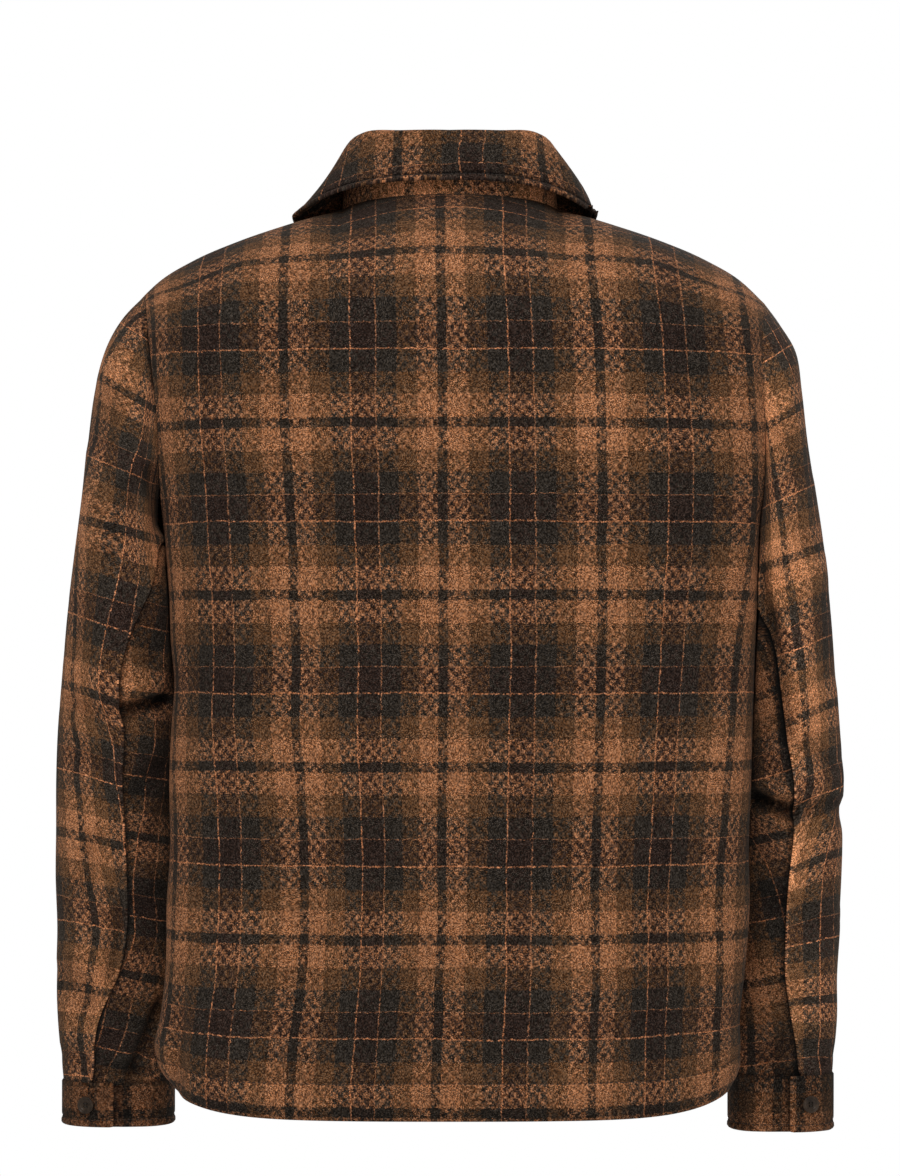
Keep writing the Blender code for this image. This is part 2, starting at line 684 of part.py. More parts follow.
def finer(grid):
    """Four points for each step of a grid, on its straight chords."""
    rows, cols = grid.shape[:2]
    r = np.linspace(0, rows - 1, 4 * (rows - 1) + 1)
    c = np.linspace(0, cols - 1, 4 * (cols - 1) + 1)
    i = np.minimum(r.astype(int), rows - 2)
    j = np.minimum(c.astype(int), cols - 2)
    u = (r - i)[:, None, None]
    v = (c - j)[None, :, None]
    near = grid[i][:, j] * (1 - v) + grid[i][:, j + 1] * v
    far = grid[i + 1][:, j] * (1 - v) + grid[i + 1][:, j + 1] * v
    return near * (1 - u) + far * u


def push_clear(points, samples, sample_normals, clear):
    """Move points out so that they lie clear of a panel below them."""
    moved = points.reshape(-1, 3).copy()
    flat = samples.reshape(-1, 3)
    ups = sample_normals.reshape(-1, 3)
    for p in moved:
        k = int(np.argmin(np.sum((flat - p) ** 2, axis=1)))
        if np.sum((flat[k] - p) ** 2) > FALL_REACH ** 2:
            continue
        gap = float(np.dot(p - flat[k], ups[k]))
        if gap < clear:
            p += ups[k] * (clear - gap)
    return moved.reshape(points.shape)


def make_cuff(side):
    """Outer points of a cuff, a band whose two ends lap at the back."""
    cuff = CUFF[side]
    last = len(SLEEVE) - 1
    start = cuff.end_deg - CUFF_LAP
    degrees = np.linspace(start, cuff.end_deg + 360.0, 361)
    base = sleeve_section(side, last, degrees)
    under = smooth((cuff.end_deg + CUFF_EASE[0] - degrees) / CUFF_EASE[1])
    proud = CUFF_PROUD - (DOUBLED + 2 * SEAM_GAP) * under
    angle = np.radians(degrees)
    ring = base + proud[:, None] * outward(angle)
    line = along(ring, np.linspace(0.0, 1.0, CUFF_COLUMNS + 5))
    grid = []
    for t in np.linspace(0.0, 1.0, CUFF_ROWS + 1):
        row = line.copy()
        row[:, 2] = cuff.bottom + (cuff.top - cuff.bottom) * t
        grid.append(row)
    grid = np.array(grid)
    if side == "right":
        grid = grid[:, ::-1] * [-1.0, 1.0, 1.0]
    return grid


def cuff_seat(side):
    """Where a cuff's button lies on the lapped end, and the way it faces."""
    cuff = CUFF[side]
    flip = np.array([1.0 if side == "left" else -1.0, 1.0, 1.0])
    half_turn = math.degrees(0.5 * CUFF_BUTTON / WRIST_RADIUS)
    turns = cuff.button_deg + half_turn * np.array([-1.0, 0.0, 1.0])
    base = sleeve_section(side, len(SLEEVE) - 1, turns) * flip
    chord = base[2] - base[0]
    facing = np.array([chord[1], -chord[0], 0.0]) * flip[0]
    facing /= np.linalg.norm(facing)
    ring = along(make_cuff(side)[0], np.linspace(0.0, 1.0, 40 * CUFF_COLUMNS))
    gap = np.linalg.norm((ring - base[1])[:, :2], axis=1)
    proud = np.max((ring - base[1])[gap < 0.55 * CUFF_BUTTON] @ facing)
    place = base[1] + facing * (proud + SEAM_GAP)
    place[2] = 0.5 * (cuff.top + cuff.bottom)
    return place, facing


def stand_height(angle):
    """Height of the collar's fold over the neck seam, by turn from the centre back."""
    return float(read(COLLAR_RISE, "turn", "rise", abs(math.degrees(angle))))


def make_stand(neck):
    """Outer points of the collar stand, from the neck seam up."""
    centre = np.array([0.0, NECK_MID_Y, 0.0])
    grid = []
    for t in np.linspace(0.0, 1.0, STAND_ROWS + 1):
        row = neck.copy()
        for p, base in zip(row, neck):
            turn = math.atan2(base[0], (base[1] - NECK_MID_Y) / NECK_DEPTH * NECK_HALF)
            away = (base - centre) * [1.0, 1.0, 0.0]
            away /= np.linalg.norm(away)
            p += away * STAND_LEAN * t
            p[2] += t * (stand_height(turn) - FOLD_RISE)
        grid.append(row)
    return np.array(grid)


def fall_edge(turn):
    """Lower edge of the collar's fall by turn from the centre back, in radians."""
    side = 1.0 if turn >= 0 else -1.0
    reach = FALL_EDGE["left" if turn >= 0 else "right"]
    turn = abs(turn)
    if turn < math.pi / 2:
        s = math.sin(turn)
        return np.array([side * reach * s, FALL_SIDE_Y + (FALL_BACK_Y - FALL_SIDE_Y) * math.cos(turn),
                         FALL_BACK_Z + (FALL_SIDE_Z - FALL_BACK_Z) * s ** FALL_DROP])
    t = (turn - math.pi / 2) / (math.pi / 2)
    x = reach - (reach - COLLAR_POINT.x) * t ** COLLAR_RUN.x
    y = FALL_SIDE_Y - (FALL_SIDE_Y - COLLAR_POINT.y) * t ** COLLAR_RUN.y
    z = FALL_SIDE_Z - (FALL_SIDE_Z - COLLAR_POINT.z) * t ** COLLAR_RUN.z
    return np.array([side * x, y, z])


def make_fall(stand):
    """Outer points of the collar's fall, from its lower edge up over the fold."""
    centre = np.array([0.0, NECK_MID_Y, 0.0])
    columns = []
    for top in stand[-1]:
        turn = math.atan2(top[0], (top[1] - NECK_MID_Y) / NECK_DEPTH * NECK_HALF)
        away = (top - centre) * [1.0, 1.0, 0.0]
        away /= np.linalg.norm(away)
        joint = top + [0.0, 0.0, SEAM_GAP]
        crest = joint + away * FOLD_CREST + [0.0, 0.0, FOLD_RISE]
        brow = joint + away * FOLD_BROW[0] + [0.0, 0.0, FOLD_BROW[1]]
        edge = fall_edge(turn)
        side = "left" if turn >= 0 else "right"
        column = []
        for t in np.linspace(0.0, 1.0, FALL_ROWS - 1)[::-1]:
            swell = away * FALL_SWELL[side] * math.sin(math.pi * t)
            column.append(brow + (edge - brow) * t + swell)
        column += [crest, joint]
        columns.append(column)
    return np.array(columns).transpose(1, 0, 2)


def button(name, size, place, facing, home):
    """A turned button with a raised rim, its back on the cloth."""
    r = 0.5 * size
    points = [(r * out, 0.0, r * up) for out, up in BUTTON_PROFILE]
    mesh = bpy.data.meshes.new(name)
    mesh.from_pydata(points, [(k, k + 1) for k in range(len(points) - 1)], [])
    mesh.update()
    obj = add_object(name, mesh, "button", home)
    turned = obj.modifiers.new("turned", "SCREW")
    turned.axis = "Z"
    turned.steps = BUTTON_STEPS
    turned.render_steps = BUTTON_STEPS
    turned.use_merge_vertices = True
    turned.merge_threshold = 0.0001
    turned.use_smooth_shade = True
    obj.rotation_mode = "QUATERNION"
    obj.rotation_quaternion = Vector(facing).to_track_quat("Z", "Y")
    obj.location = Vector(place) + Vector(facing) * SEAM_GAP
    return obj


def main():
    """Make every piece."""
    for obj in list(bpy.data.objects):
        bpy.data.objects.remove(obj, do_unlink=True)
    home = bpy.data.collections.new("shacket")
    bpy.context.scene.collection.children.link(home)

    back = make_back()
    fronts = {side: make_front(side) for side in ("left", "right")}
    grids = {"back": back, "front_left": fronts["left"], "front_right": fronts["right"]}
    for side in ("left", "right"):
        pieces = make_sleeve(side, armhole_line(back, fronts, side))
        grids["sleeve_top_" + side] = pieces["top"]
        grids["sleeve_under_" + side] = pieces["under"]

    n = FRONT_NECK_COLUMNS
    neck_l = fronts["left"][-1, 1:n + 1]
    neck_r = fronts["right"][-1, -n - 1:-1]
    first = SHOULDER_COLUMNS
    neck_b = back[-1, first + 1:first + BACK_NECK_COLUMNS]
    neck = np.vstack([neck_l, neck_b, neck_r])
    for end, following in ((0, 1), (-1, -2)):
        step = neck[following] - neck[end]
        neck[end] += step / np.linalg.norm(step) * 0.5 * COLLAR_OPENING
    stand = make_stand(neck)
    grids["collar_stand"] = stand

    shared = shared_normals(grids)
    sewn = {
        "back": ("top", "start", "end"),
        "front_left": ("top", "end"),
        "front_right": ("top", "start"),
        "collar_stand": ("bottom", "top"),
    }
    kinds = {"back": "back", "front_left": "front", "front_right": "front",
             "collar_stand": "collar"}
    thick = {"collar_stand": DOUBLED}
    for name, grid in grids.items():
        inner = grid - thick.get(name, CLOTH) * shared[name]
        kind = kinds.get(name, "sleeve" if "top" in name else "under_sleeve")
        outer, inner = pull_in(grid.copy(), inner, sewn.get(name, ("top", "start", "end")))
        wall(name, outer, inner, kind, home)

    for side in ("left", "right"):
        band = make_cuff(side)
        wall("cuff_" + side, band, band - DOUBLED * normals(band), "cuff", home)

    fall = make_fall(stand)
    below = np.concatenate([fronts["left"], back, fronts["right"]], axis=1)
    below_n = np.concatenate([shared["front_left"], shared["back"], shared["front_right"]], axis=1)
    rows = slice(-UPPER_ROWS, None)
    fall = push_clear(fall, finer(below[rows]), finer(below_n[rows]), DOUBLED + FALL_CLEAR)
    wall("collar_fall", fall, fall - DOUBLED * normals(fall), "collar", home)

    left = fronts["left"]
    left_n = shared["front_left"]
    column = 1
    heights = np.linspace(BUTTON_TOP_Z, BUTTON_END_Z, BUTTON_COUNT)
    for k, z in enumerate(heights):
        zs = left[:, column, 2]
        place = np.array([np.interp(z, zs, left[:, column, i]) for i in range(3)])
        facing = np.array([np.interp(z, zs, left_n[:, column, i]) for i in range(3)])
        button("button_%d" % (k + 1), FRONT_BUTTON, place, facing / np.linalg.norm(facing), home)
    for side in ("left", "right"):
        place, facing = cuff_seat(side)
        button("cuff_button_" + side, CUFF_BUTTON, place, facing, home)


main()
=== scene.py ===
"""Shacket, a checked wool overshirt, hollow and standing as it is worn.

Metres, +Z up. The front faces -Y, the back +Y, the wearer's left is +X.
The camera stands behind the garment and sees its back.
"""
import math
from collections import namedtuple

import bpy
import numpy as np
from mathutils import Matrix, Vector


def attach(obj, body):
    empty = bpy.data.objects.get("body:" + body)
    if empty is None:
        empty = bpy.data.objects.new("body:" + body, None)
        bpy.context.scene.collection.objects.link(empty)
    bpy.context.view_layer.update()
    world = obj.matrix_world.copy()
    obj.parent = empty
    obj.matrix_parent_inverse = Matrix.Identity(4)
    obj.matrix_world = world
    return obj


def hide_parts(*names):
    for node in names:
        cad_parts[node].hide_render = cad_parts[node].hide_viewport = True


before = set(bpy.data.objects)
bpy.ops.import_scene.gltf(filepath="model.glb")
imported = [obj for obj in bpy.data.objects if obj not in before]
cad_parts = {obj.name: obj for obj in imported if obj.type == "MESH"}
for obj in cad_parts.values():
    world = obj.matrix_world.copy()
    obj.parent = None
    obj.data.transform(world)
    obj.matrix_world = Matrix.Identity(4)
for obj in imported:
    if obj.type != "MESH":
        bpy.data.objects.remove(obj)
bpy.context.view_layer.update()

# Driving dimensions of the garment

SIGN = {"left": 1.0, "right": -1.0}   # which way a side lies from the middle
SIDES = tuple(SIGN)
CLOTH = 0.0020            # one layer of the brushed cloth
DOUBLED = 0.0030          # cuffs and collar, cut double
SEAM_GAP = 0.0003         # clear space left at every seam
TOUCH = 0.0015            # clear space between a sleeve and the side it hangs against
HEM_Z = -0.7127           # hem at the centre of the back
HEM_LIFT = 0.0145         # how much higher the hem lies at the sides
HEM_LIFT_POWER = 7        # how close to the sides the hem starts to rise
HEM_LIFT_REACH = 0.080    # height over which that rise fades out
HEM_TURNING = 0.0290      # height of the stitched hem turning
UNDERARM_Z = -0.285       # where the side seam meets the armhole
UNDER_SEAM_Z = -0.263     # where the sleeve's own seams meet the armhole
LEAN_Z = -0.100           # above this the back and fronts lean over the shoulders
LEAN_START = Vector((0.30, 0.03, 0.42))   # how the bend over the shoulder sets out
LEAN_END = Vector((0.25, 0.52, 0.04))     # and how it comes in at the top edge
LEAN_AT_NECK = 0.20       # it comes in steeper at the neck
LEAN_NECK = 0.115         # within this distance of the middle
LEAN_BLEND = 0.050
RING_MID_Y = 0.030        # depth at which the body is widest
RING_POWER = 2.6          # squareness of the body's cross-section
SEAM_Y = -0.005           # depth of the side and shoulder seams
SLEEVE_POWER = 2.3        # squareness of a sleeve's cross-section
NECK_HALF = 0.088         # neck opening, half its width
NECK_MID_Y = -0.030
NECK_DEPTH = 0.0755       # neck opening, half its depth
NECK_BACK_Z = 0.013
NECK_SIDE_DROP = 0.007
NECK_FRONT_DROP = 0.074
NECK_FRONT_CURVE = 1.5
NECK_SEAM_ANGLE = math.radians(74.6)   # where the shoulder seam meets the neck
FRONT_LAP = 0.016         # each front runs this far past the centre line
LAP_TURN = FRONT_LAP / 0.2   # turn of the section that covers that lap
LAP_FRACTIONS = (0.2, 0.4, 0.6, 0.8, 0.92, 1.0)   # columns of that lap
BUTTON_COLUMN = 0.2       # nearest of those to the line of the buttons
LAP_FORWARD = 0.0012      # how far back each front's neck edge turns past the centre
LAP_RISE = 0.0016         # how much each front's neck edge climbs past the centre
LAP_BLEND = 0.080         # the lower front starts to drop this far from the centre
LAP_EASE = 0.040          # and is fully under the upper one this much nearer to it
CUFF_LAP = 60.0           # degrees of a cuff that lie under its own end
CUFF_EASE = (45.0, 40.0)  # the lower end starts this far past the lap, and takes this long
WRIST_RADIUS = 0.041      # of the cuffs, where their buttons lie
CUFF_PROUD = 0.0014       # how far a cuff stands out from the sleeve's end
COLLAR_OPENING = 0.005    # gap between the collar's two front ends
FOLD_FADE = 0.040         # folds of the back fade out this near its seams
STAND_LEAN = -0.003       # how far the collar stand leans out at its top
FOLD_RISE = 0.0045        # rise of the rolled fold over the stand
FOLD_CREST = 0.0035       # how far out the top of the fold lies
FOLD_BROW = (0.0080, 0.0015)   # out and up to where the fall starts down
FOLD_ROUND = 0.003        # fullness of the fold between its crest and its brow
FALL_SWELL = {"left": -0.0020, "right": 0.0045}   # how far the collar's fall bellies out
FALL_EDGE = {"left": 0.1272, "right": 0.1180}   # the fall's reach over each shoulder
FALL_BACK_Y = 0.059       # the fall's lower edge at the centre back
FALL_BACK_Z = 0.0238
FALL_SIDE_Y = -0.020      # and over the shoulders
FALL_SIDE_Z = 0.0015
FALL_DROP = 3.2           # how late round the neck it drops from one to the other
COLLAR_POINT = Vector((0.062, -0.145, -0.1003))   # the collar's front corners
COLLAR_RUN = Vector((1.5, 0.9, 1.3))   # how evenly its edge runs to them
FALL_CLEAR = 0.0040       # clear space under the collar's fall where it lies on the body
FALL_REACH = 0.030        # the fall looks this far for the panel below it
CUFF_BUTTON = 0.0140
CUFF_BUTTON_SEAT = 0.55 * CUFF_BUTTON   # it rests on the cloth this far round its middle
FRONT_BUTTON = 0.0180
BUTTON_COUNT = 6
BUTTON_TOP_Z = -0.125
BUTTON_END_Z = -0.655

# Body: widths are measured from the middle to the widest point on each side,
# or to the armhole seam above the underarm. Depths are those of the outer face.

Body = namedtuple("Body", "z left right back front")
BODY = (
    Body(-0.7127, 0.2195, 0.2215, 0.126, -0.118),
    Body(-0.6980, 0.2275, 0.2280, 0.128, -0.120),
    Body(-0.6730, 0.2350, 0.2310, 0.129, -0.121),
    Body(-0.6460, 0.2310, 0.2305, 0.129, -0.122),
    Body(-0.6000, 0.2262, 0.2350, 0.129, -0.123),
    Body(-0.5500, 0.2255, 0.2385, 0.129, -0.124),
    Body(-0.5100, 0.2230, 0.2378, 0.130, -0.124),
    Body(-0.4540, 0.2235, 0.2397, 0.131, -0.125),
    Body(-0.4116, 0.2222, 0.2408, 0.132, -0.125),
    Body(-0.3760, 0.2198, 0.2420, 0.133, -0.125),
    Body(-0.3420, 0.2225, 0.2432, 0.134, -0.126),
    Body(-0.3100, 0.2235, 0.2446, 0.135, -0.126),
    Body(-0.2620, 0.2270, 0.2460, 0.136, -0.127),
    Body(-0.2140, 0.2290, 0.2480, 0.137, -0.127),
    Body(-0.1740, 0.2300, 0.2475, 0.137, -0.126),
    Body(-0.1410, 0.2330, 0.2462, 0.136, -0.125),
    Body(-0.1000, 0.2388, 0.2470, 0.132, -0.121),
)

# Depth of the armhole seam at the back and at the front, by height

Armhole = namedtuple("Armhole", "z back front")
ARMHOLE = (
    Armhole(-0.285, -0.005, -0.005),
    Armhole(-0.272, 0.016, -0.024),
    Armhole(-0.255, 0.034, -0.042),
    Armhole(-0.230, 0.052, -0.058),
    Armhole(-0.200, 0.063, -0.068),
    Armhole(-0.165, 0.068, -0.071),
    Armhole(-0.130, 0.065, -0.067),
    Armhole(-0.100, 0.054, -0.056),
)

# Shoulder line, the highest line of the garment from the neck outwards

Shoulder = namedtuple("Shoulder", "x z")
SHOULDER = (
    Shoulder(0.0848, 0.0080),
    Shoulder(0.1280, -0.0050),
    Shoulder(0.1700, -0.0194),
    Shoulder(0.2070, -0.0355),
    Shoulder(0.2340, -0.0517),
    Shoulder(0.2540, -0.0700),
)
ARMHOLE_TOP = {"left": 0.246, "right": 0.254}
ARMHOLE_NEAR = 0.012      # columns lie closer within this distance of the armhole
ARMHOLE_FRACTIONS = (0.75, 0.5, 0.33, 0.2, 0.1, 0.0)
SHOULDER_COLUMNS = 36

# Sleeves: each row is one section, from its outermost to its innermost point.
# The seam columns give the back seam as degrees round the section from outermost.

Sleeve = namedtuple("Sleeve", "outer_z inner_z left_out left_in right_out right_in mid_y depth"
                              " left_seam right_seam")
SLEEVE = (
    Sleeve(-0.064, -0.285, 0.2460, 0.2250, 0.2540, 0.2400, -0.003, 0.0700, 128, 128),
    Sleeve(-0.084, -0.292, 0.2650, 0.2220, 0.2665, 0.2370, -0.003, 0.0720, 126, 130),
    Sleeve(-0.108, -0.299, 0.2780, 0.2210, 0.2790, 0.2360, -0.004, 0.0740, 125, 131),
    Sleeve(-0.140, -0.307, 0.2865, 0.2200, 0.2835, 0.2350, -0.006, 0.0755, 125, 132),
    Sleeve(-0.180, -0.316, 0.2922, 0.2190, 0.2880, 0.2340, -0.008, 0.0765, 123, 132),
    Sleeve(-0.225, -0.327, 0.2970, 0.2180, 0.2955, 0.2330, -0.011, 0.0770, 117, 131),
    Sleeve(-0.275, -0.341, 0.3038, 0.2180, 0.3035, 0.2330, -0.015, 0.0770, 108, 124),
    Sleeve(-0.325, -0.360, 0.3100, 0.2180, 0.3090, 0.2330, -0.019, 0.0760, 97, 110),
    Sleeve(-0.372, -0.386, 0.3142, 0.2180, 0.3128, 0.2320, -0.023, 0.0740, 92, 102),
    Sleeve(-0.415, -0.420, 0.3180, 0.2180, 0.3162, 0.2320, -0.027, 0.0720, 97, 96),
    Sleeve(-0.455, -0.456, 0.3198, 0.2180, 0.3196, 0.2320, -0.031, 0.0700, 96, 91),
    Sleeve(-0.495, -0.495, 0.3203, 0.2180, 0.3192, 0.2310, -0.035, 0.0670, 98, 90),
    Sleeve(-0.535, -0.535, 0.3212, 0.2180, 0.3190, 0.2290, -0.040, 0.0640, 99, 92),
    Sleeve(-0.575, -0.575, 0.3203, 0.2180, 0.3182, 0.2270, -0.044, 0.0600, 98, 92),
    Sleeve(-0.615, -0.615, 0.3215, 0.2190, 0.3162, 0.2250, -0.048, 0.0550, 91, 90),
    Sleeve(-0.655, -0.655, 0.3205, 0.2230, 0.3165, 0.2250, -0.052, 0.0470, 76, 84),
    Sleeve(-0.7010, -0.7010, 0.3165, 0.2270, 0.3130, 0.2290, -0.056, 0.0370, 67, 73),
)
WRIST_SHIFT = {"left": -0.0010, "right": 0.0045}   # height of each sleeve's end
WRIST_TOP_Z = -0.600      # that shift fades in below this height
WRIST_RUN = 0.101
SLEEVE_APART = 0.26       # further out than this a sleeve never meets the body's side
DEGREE = 0.00102          # length of one degree round a sleeve
FRONT_SEAM = -130.0       # degrees round a sleeve where its front seam runs
CAP_SECTIONS = 5.0        # sections over which a sleeve leaves the armhole's shape
EVEN_AFTER = 6.0          # sections after which its columns are evenly spread

Cuff = namedtuple("Cuff", "top bottom end_deg button_deg")
CUFF = {
    "left": Cuff(-0.7023, -0.7353, 88.0, 63.0),
    "right": Cuff(-0.6968, -0.7394, 84.0, 64.0),
}

# Creases pressed into the sleeves: height and turn where each starts and ends,
# depth into the cloth (proud if negative) and half width.

Crease = namedtuple("Crease", "deg_a z_a deg_b z_b depth width")
CREASES = {
    "left": (
        Crease(90, -0.397, 150, -0.388, 0.0060, 0.012),
        Crease(90, -0.372, 150, -0.360, -0.0030, 0.014),
        Crease(95, -0.520, 165, -0.470, 0.0035, 0.016),
        Crease(20, -0.620, 75, -0.640, 0.0030, 0.014),
        Crease(60, -0.688, 150, -0.684, 0.0030, 0.010),
    ),
    "right": (
        Crease(60, -0.481, 150, -0.466, 0.0060, 0.012),
        Crease(20, -0.455, 130, -0.440, -0.0030, 0.016),
        Crease(-10, -0.484, 40, -0.481, 0.0030, 0.010),
        Crease(60, -0.560, 150, -0.590, 0.0030, 0.016),
        Crease(60, -0.688, 150, -0.684, 0.0030, 0.010),
    ),
}

# Folds of the back: where each line starts and ends, across and up, its depth
# (proud if negative) and half width.

Fold = namedtuple("Fold", "x_a z_a x_b z_b depth width")
FOLDS = (
    Fold(-0.2130, -0.520, -0.2130, -0.700, -0.0022, 0.0060),
    Fold(-0.2020, -0.500, -0.2020, -0.700, 0.0012, 0.0080),
    Fold(0.2160, -0.630, 0.2140, -0.706, 0.0030, 0.0070),
    Fold(-0.2400, -0.110, -0.2410, -0.300, -0.0012, 0.0050),
)

# Height of the collar's fold over the neck seam, by turn from the centre back

Rise = namedtuple("Rise", "turn rise")
COLLAR_RISE = (
    Rise(0, 0.0505),
    Rise(25, 0.0520),
    Rise(50, 0.0549),
    Rise(60, 0.0524),
    Rise(68, 0.0475),
    Rise(75, 0.0435),
    Rise(90, 0.0400),
    Rise(120, 0.0340),
    Rise(180, 0.0280),
)

# Check of the cloth: one repeat each way, as widths in metres

Stripe = namedtuple("Stripe", "yarn width")
WARP = (
    Stripe("dark", 0.0074),
    Stripe("tan", 0.0163),
    Stripe("brown", 0.0155),
    Stripe("green", 0.0152),
    Stripe("bright", 0.0013),
    Stripe("red", 0.0185),
    Stripe("faint", 0.0010),
    Stripe("green", 0.0154),
    Stripe("brown", 0.0154),
    Stripe("tan", 0.0160),
)
WEFT = (
    Stripe("dark", 0.0074),
    Stripe("tan", 0.0180),
    Stripe("brown", 0.0165),
    Stripe("green", 0.0169),
    Stripe("faint", 0.0009),
    Stripe("red", 0.0194),
    Stripe("bright", 0.0011),
    Stripe("green", 0.0180),
    Stripe("brown", 0.0165),
    Stripe("tan", 0.0185),
)
WARP_REPEAT = 0.1220
WEFT_REPEAT = 0.1332
CHECK_ORIGIN = (0.0050, -0.1738)   # crossing of two dark lines on the back
BRIGHT_AT = 0.0514        # from a dark warp line to the bright one
GREEN_AT = 0.0355         # from a dark warp line to the green band

# Yarns as they look once woven, and how fully the two thin ones cover the cloth

Yarn = namedtuple("Yarn", "red green blue cover")
YARNS = {
    "dark": Yarn(0.180, 0.150, 0.125, 0.0),
    "tan": Yarn(0.565, 0.380, 0.262, 0.0),
    "brown": Yarn(0.345, 0.243, 0.165, 0.0),
    "green": Yarn(0.178, 0.157, 0.137, 0.0),
    "red": Yarn(0.172, 0.130, 0.112, 0.0),
    "bright": Yarn(0.640, 0.415, 0.285, 0.82),
    "faint": Yarn(0.560, 0.375, 0.265, 0.56),
}

# Where the cloth's dark warp lines run on the back, across, by height

WarpLines = namedtuple("WarpLines", "z b c d e")
WARP_LINES = (
    WarpLines(-0.689, 0.1241, 0.0115, -0.1093, -0.2063),
    WarpLines(-0.659, 0.1213, 0.0102, -0.1106, -0.2080),
    WarpLines(-0.597, 0.1144, 0.0082, -0.1128, -0.2103),
    WarpLines(-0.535, 0.1122, 0.0063, -0.1122, -0.2106),
    WarpLines(-0.473, 0.1142, 0.0066, -0.1144, -0.2156),
    WarpLines(-0.411, 0.1192, 0.0057, -0.1155, -0.2211),
    WarpLines(-0.350, 0.1191, 0.0053, -0.1176, -0.2263),
    WarpLines(-0.288, 0.1212, 0.0052, -0.1175, -0.2357),
    WarpLines(-0.226, 0.1243, 0.0058, -0.1175, -0.2410),
    WarpLines(-0.1645, 0.1283, 0.0059, -0.1162, -0.2388),
    WarpLines(-0.103, 0.1298, 0.0064, -0.1138, -0.2338),
    WarpLines(-0.041, 0.1306, 0.0079, -0.1095, -0.2280),
)

# The same for the sleeves, as seen from behind: how far out a dark line and one
# further boundary of the check run, by height

Mark = namedtuple("Mark", "z first second", defaults=(None,))
SLEEVE_WARP = {
    ("top", "left"): (
        Mark(-0.6936, 0.2935, 0.2625), Mark(-0.6573, 0.2972, 0.2657), Mark(-0.6275, 0.2918, 0.2601),
        Mark(-0.6025, 0.2883, 0.2560), Mark(-0.5799, 0.2844, 0.2520), Mark(-0.5581, 0.2870, 0.2544),
        Mark(-0.5323, 0.2918, 0.2593), Mark(-0.5105, 0.2956, 0.2625), Mark(-0.4743, 0.2980, 0.2661),
        Mark(-0.4517, 0.3004, 0.2698), Mark(-0.4218, 0.3012, 0.2730), Mark(-0.4057, 0.3040, 0.2780),
        Mark(-0.3823, 0.3044, 0.2835), Mark(-0.3468, 0.3038, 0.2805), Mark(-0.3226, 0.3031, 0.2754),
        Mark(-0.2993, 0.3020, 0.2698), Mark(-0.2662, 0.3006, 0.2625), Mark(-0.2283, 0.2980, 0.2609),
        Mark(-0.2025, 0.2931, 0.2569), Mark(-0.1807, 0.2883, 0.2496), Mark(-0.1485, 0.2843, 0.2448),
        Mark(-0.1170, 0.2786, 0.2399), Mark(-0.0944, 0.2657, 0.2335), Mark(-0.0751, 0.2476, 0.2214),
    ),
    ("under", "left"): (
        Mark(-0.6936, 0.2972), Mark(-0.6573, 0.2810), Mark(-0.6323, 0.2754), Mark(-0.5759, 0.2536),
        Mark(-0.5468, 0.2552), Mark(-0.5291, 0.2552), Mark(-0.5033, 0.2515), Mark(-0.4847, 0.2480),
        Mark(-0.4517, 0.2423), Mark(-0.4226, 0.2378), Mark(-0.3985, 0.2373), Mark(-0.3726, 0.2317),
        Mark(-0.3485, 0.2303), Mark(-0.3226, 0.2276), Mark(-0.2775, 0.2262), Mark(-0.1807, 0.2190),
    ),
    ("top", "right"): (
        Mark(-0.6928, 0.2569, 0.2843), Mark(-0.5839, 0.2569, 0.2843), Mark(-0.5468, 0.2601, 0.2851),
        Mark(-0.5114, 0.2690, 0.2923), Mark(-0.4952, 0.2762, 0.2972), Mark(-0.4662, 0.2899, 0.3069),
        Mark(-0.4218, 0.2881, 0.3052), Mark(-0.3864, 0.2861, 0.3033), Mark(-0.3638, 0.2835, 0.3020),
        Mark(-0.3355, 0.2790, 0.3020), Mark(-0.3130, 0.2762, 0.3010), Mark(-0.2823, 0.2714, 0.2994),
        Mark(-0.2565, 0.2681, 0.2920), Mark(-0.2130, 0.2617, 0.2875), Mark(-0.1807, 0.2569, 0.2843),
        Mark(-0.1323, 0.2488, 0.2714), Mark(-0.1001, 0.2407, 0.2569), Mark(-0.0678, 0.2286, 0.2383),
    ),
    ("under", "right"): (
        Mark(-0.6573, 0.3633), Mark(-0.6315, 0.3593), Mark(-0.6057, 0.3504), Mark(-0.5767, 0.3415),
        Mark(-0.5472, 0.3343), Mark(-0.5194, 0.3230), Mark(-0.4710, 0.2827), Mark(-0.4226, 0.2681),
        Mark(-0.3976, 0.2648), Mark(-0.3823, 0.2615), Mark(-0.3694, 0.2569), Mark(-0.2775, 0.2262),
        Mark(-0.1807, 0.2020),
    ),
}

# Height of the dark weft lines on a sleeve, at its outer and its inner side

Level = namedtuple("Level", "out inner")
LEVEL_OUT, LEVEL_IN = 0.310, 0.230
SLEEVE_WEFT = {
    ("top", "left"): (
        Level(-0.1130, -0.1610), Level(-0.2410, -0.2619), Level(-0.3781, -0.4065),
        Level(-0.4973, -0.5162), Level(-0.6208, -0.6320),
    ),
    ("under", "left"): (
        Level(-0.1130, -0.1610), Level(-0.2410, -0.2619), Level(-0.3759, -0.3886),
        Level(-0.4930, -0.5030), Level(-0.6009, -0.6166),
    ),
    ("top", "right"): (
        Level(-0.1370, -0.1850), Level(-0.2638, -0.2903), Level(-0.3920, -0.4293),
        Level(-0.5143, -0.5438), Level(-0.6301, -0.6375),
    ),
    ("under", "right"): (
        Level(-0.1370, -0.1700), Level(-0.2400, -0.2700), Level(-0.3642, -0.3950),
        Level(-0.4909, -0.5061), Level(-0.6093, -0.6201),
    ),
}
SLEEVE_SLANT = 1.06       # weft per height above the uppermost of those lines

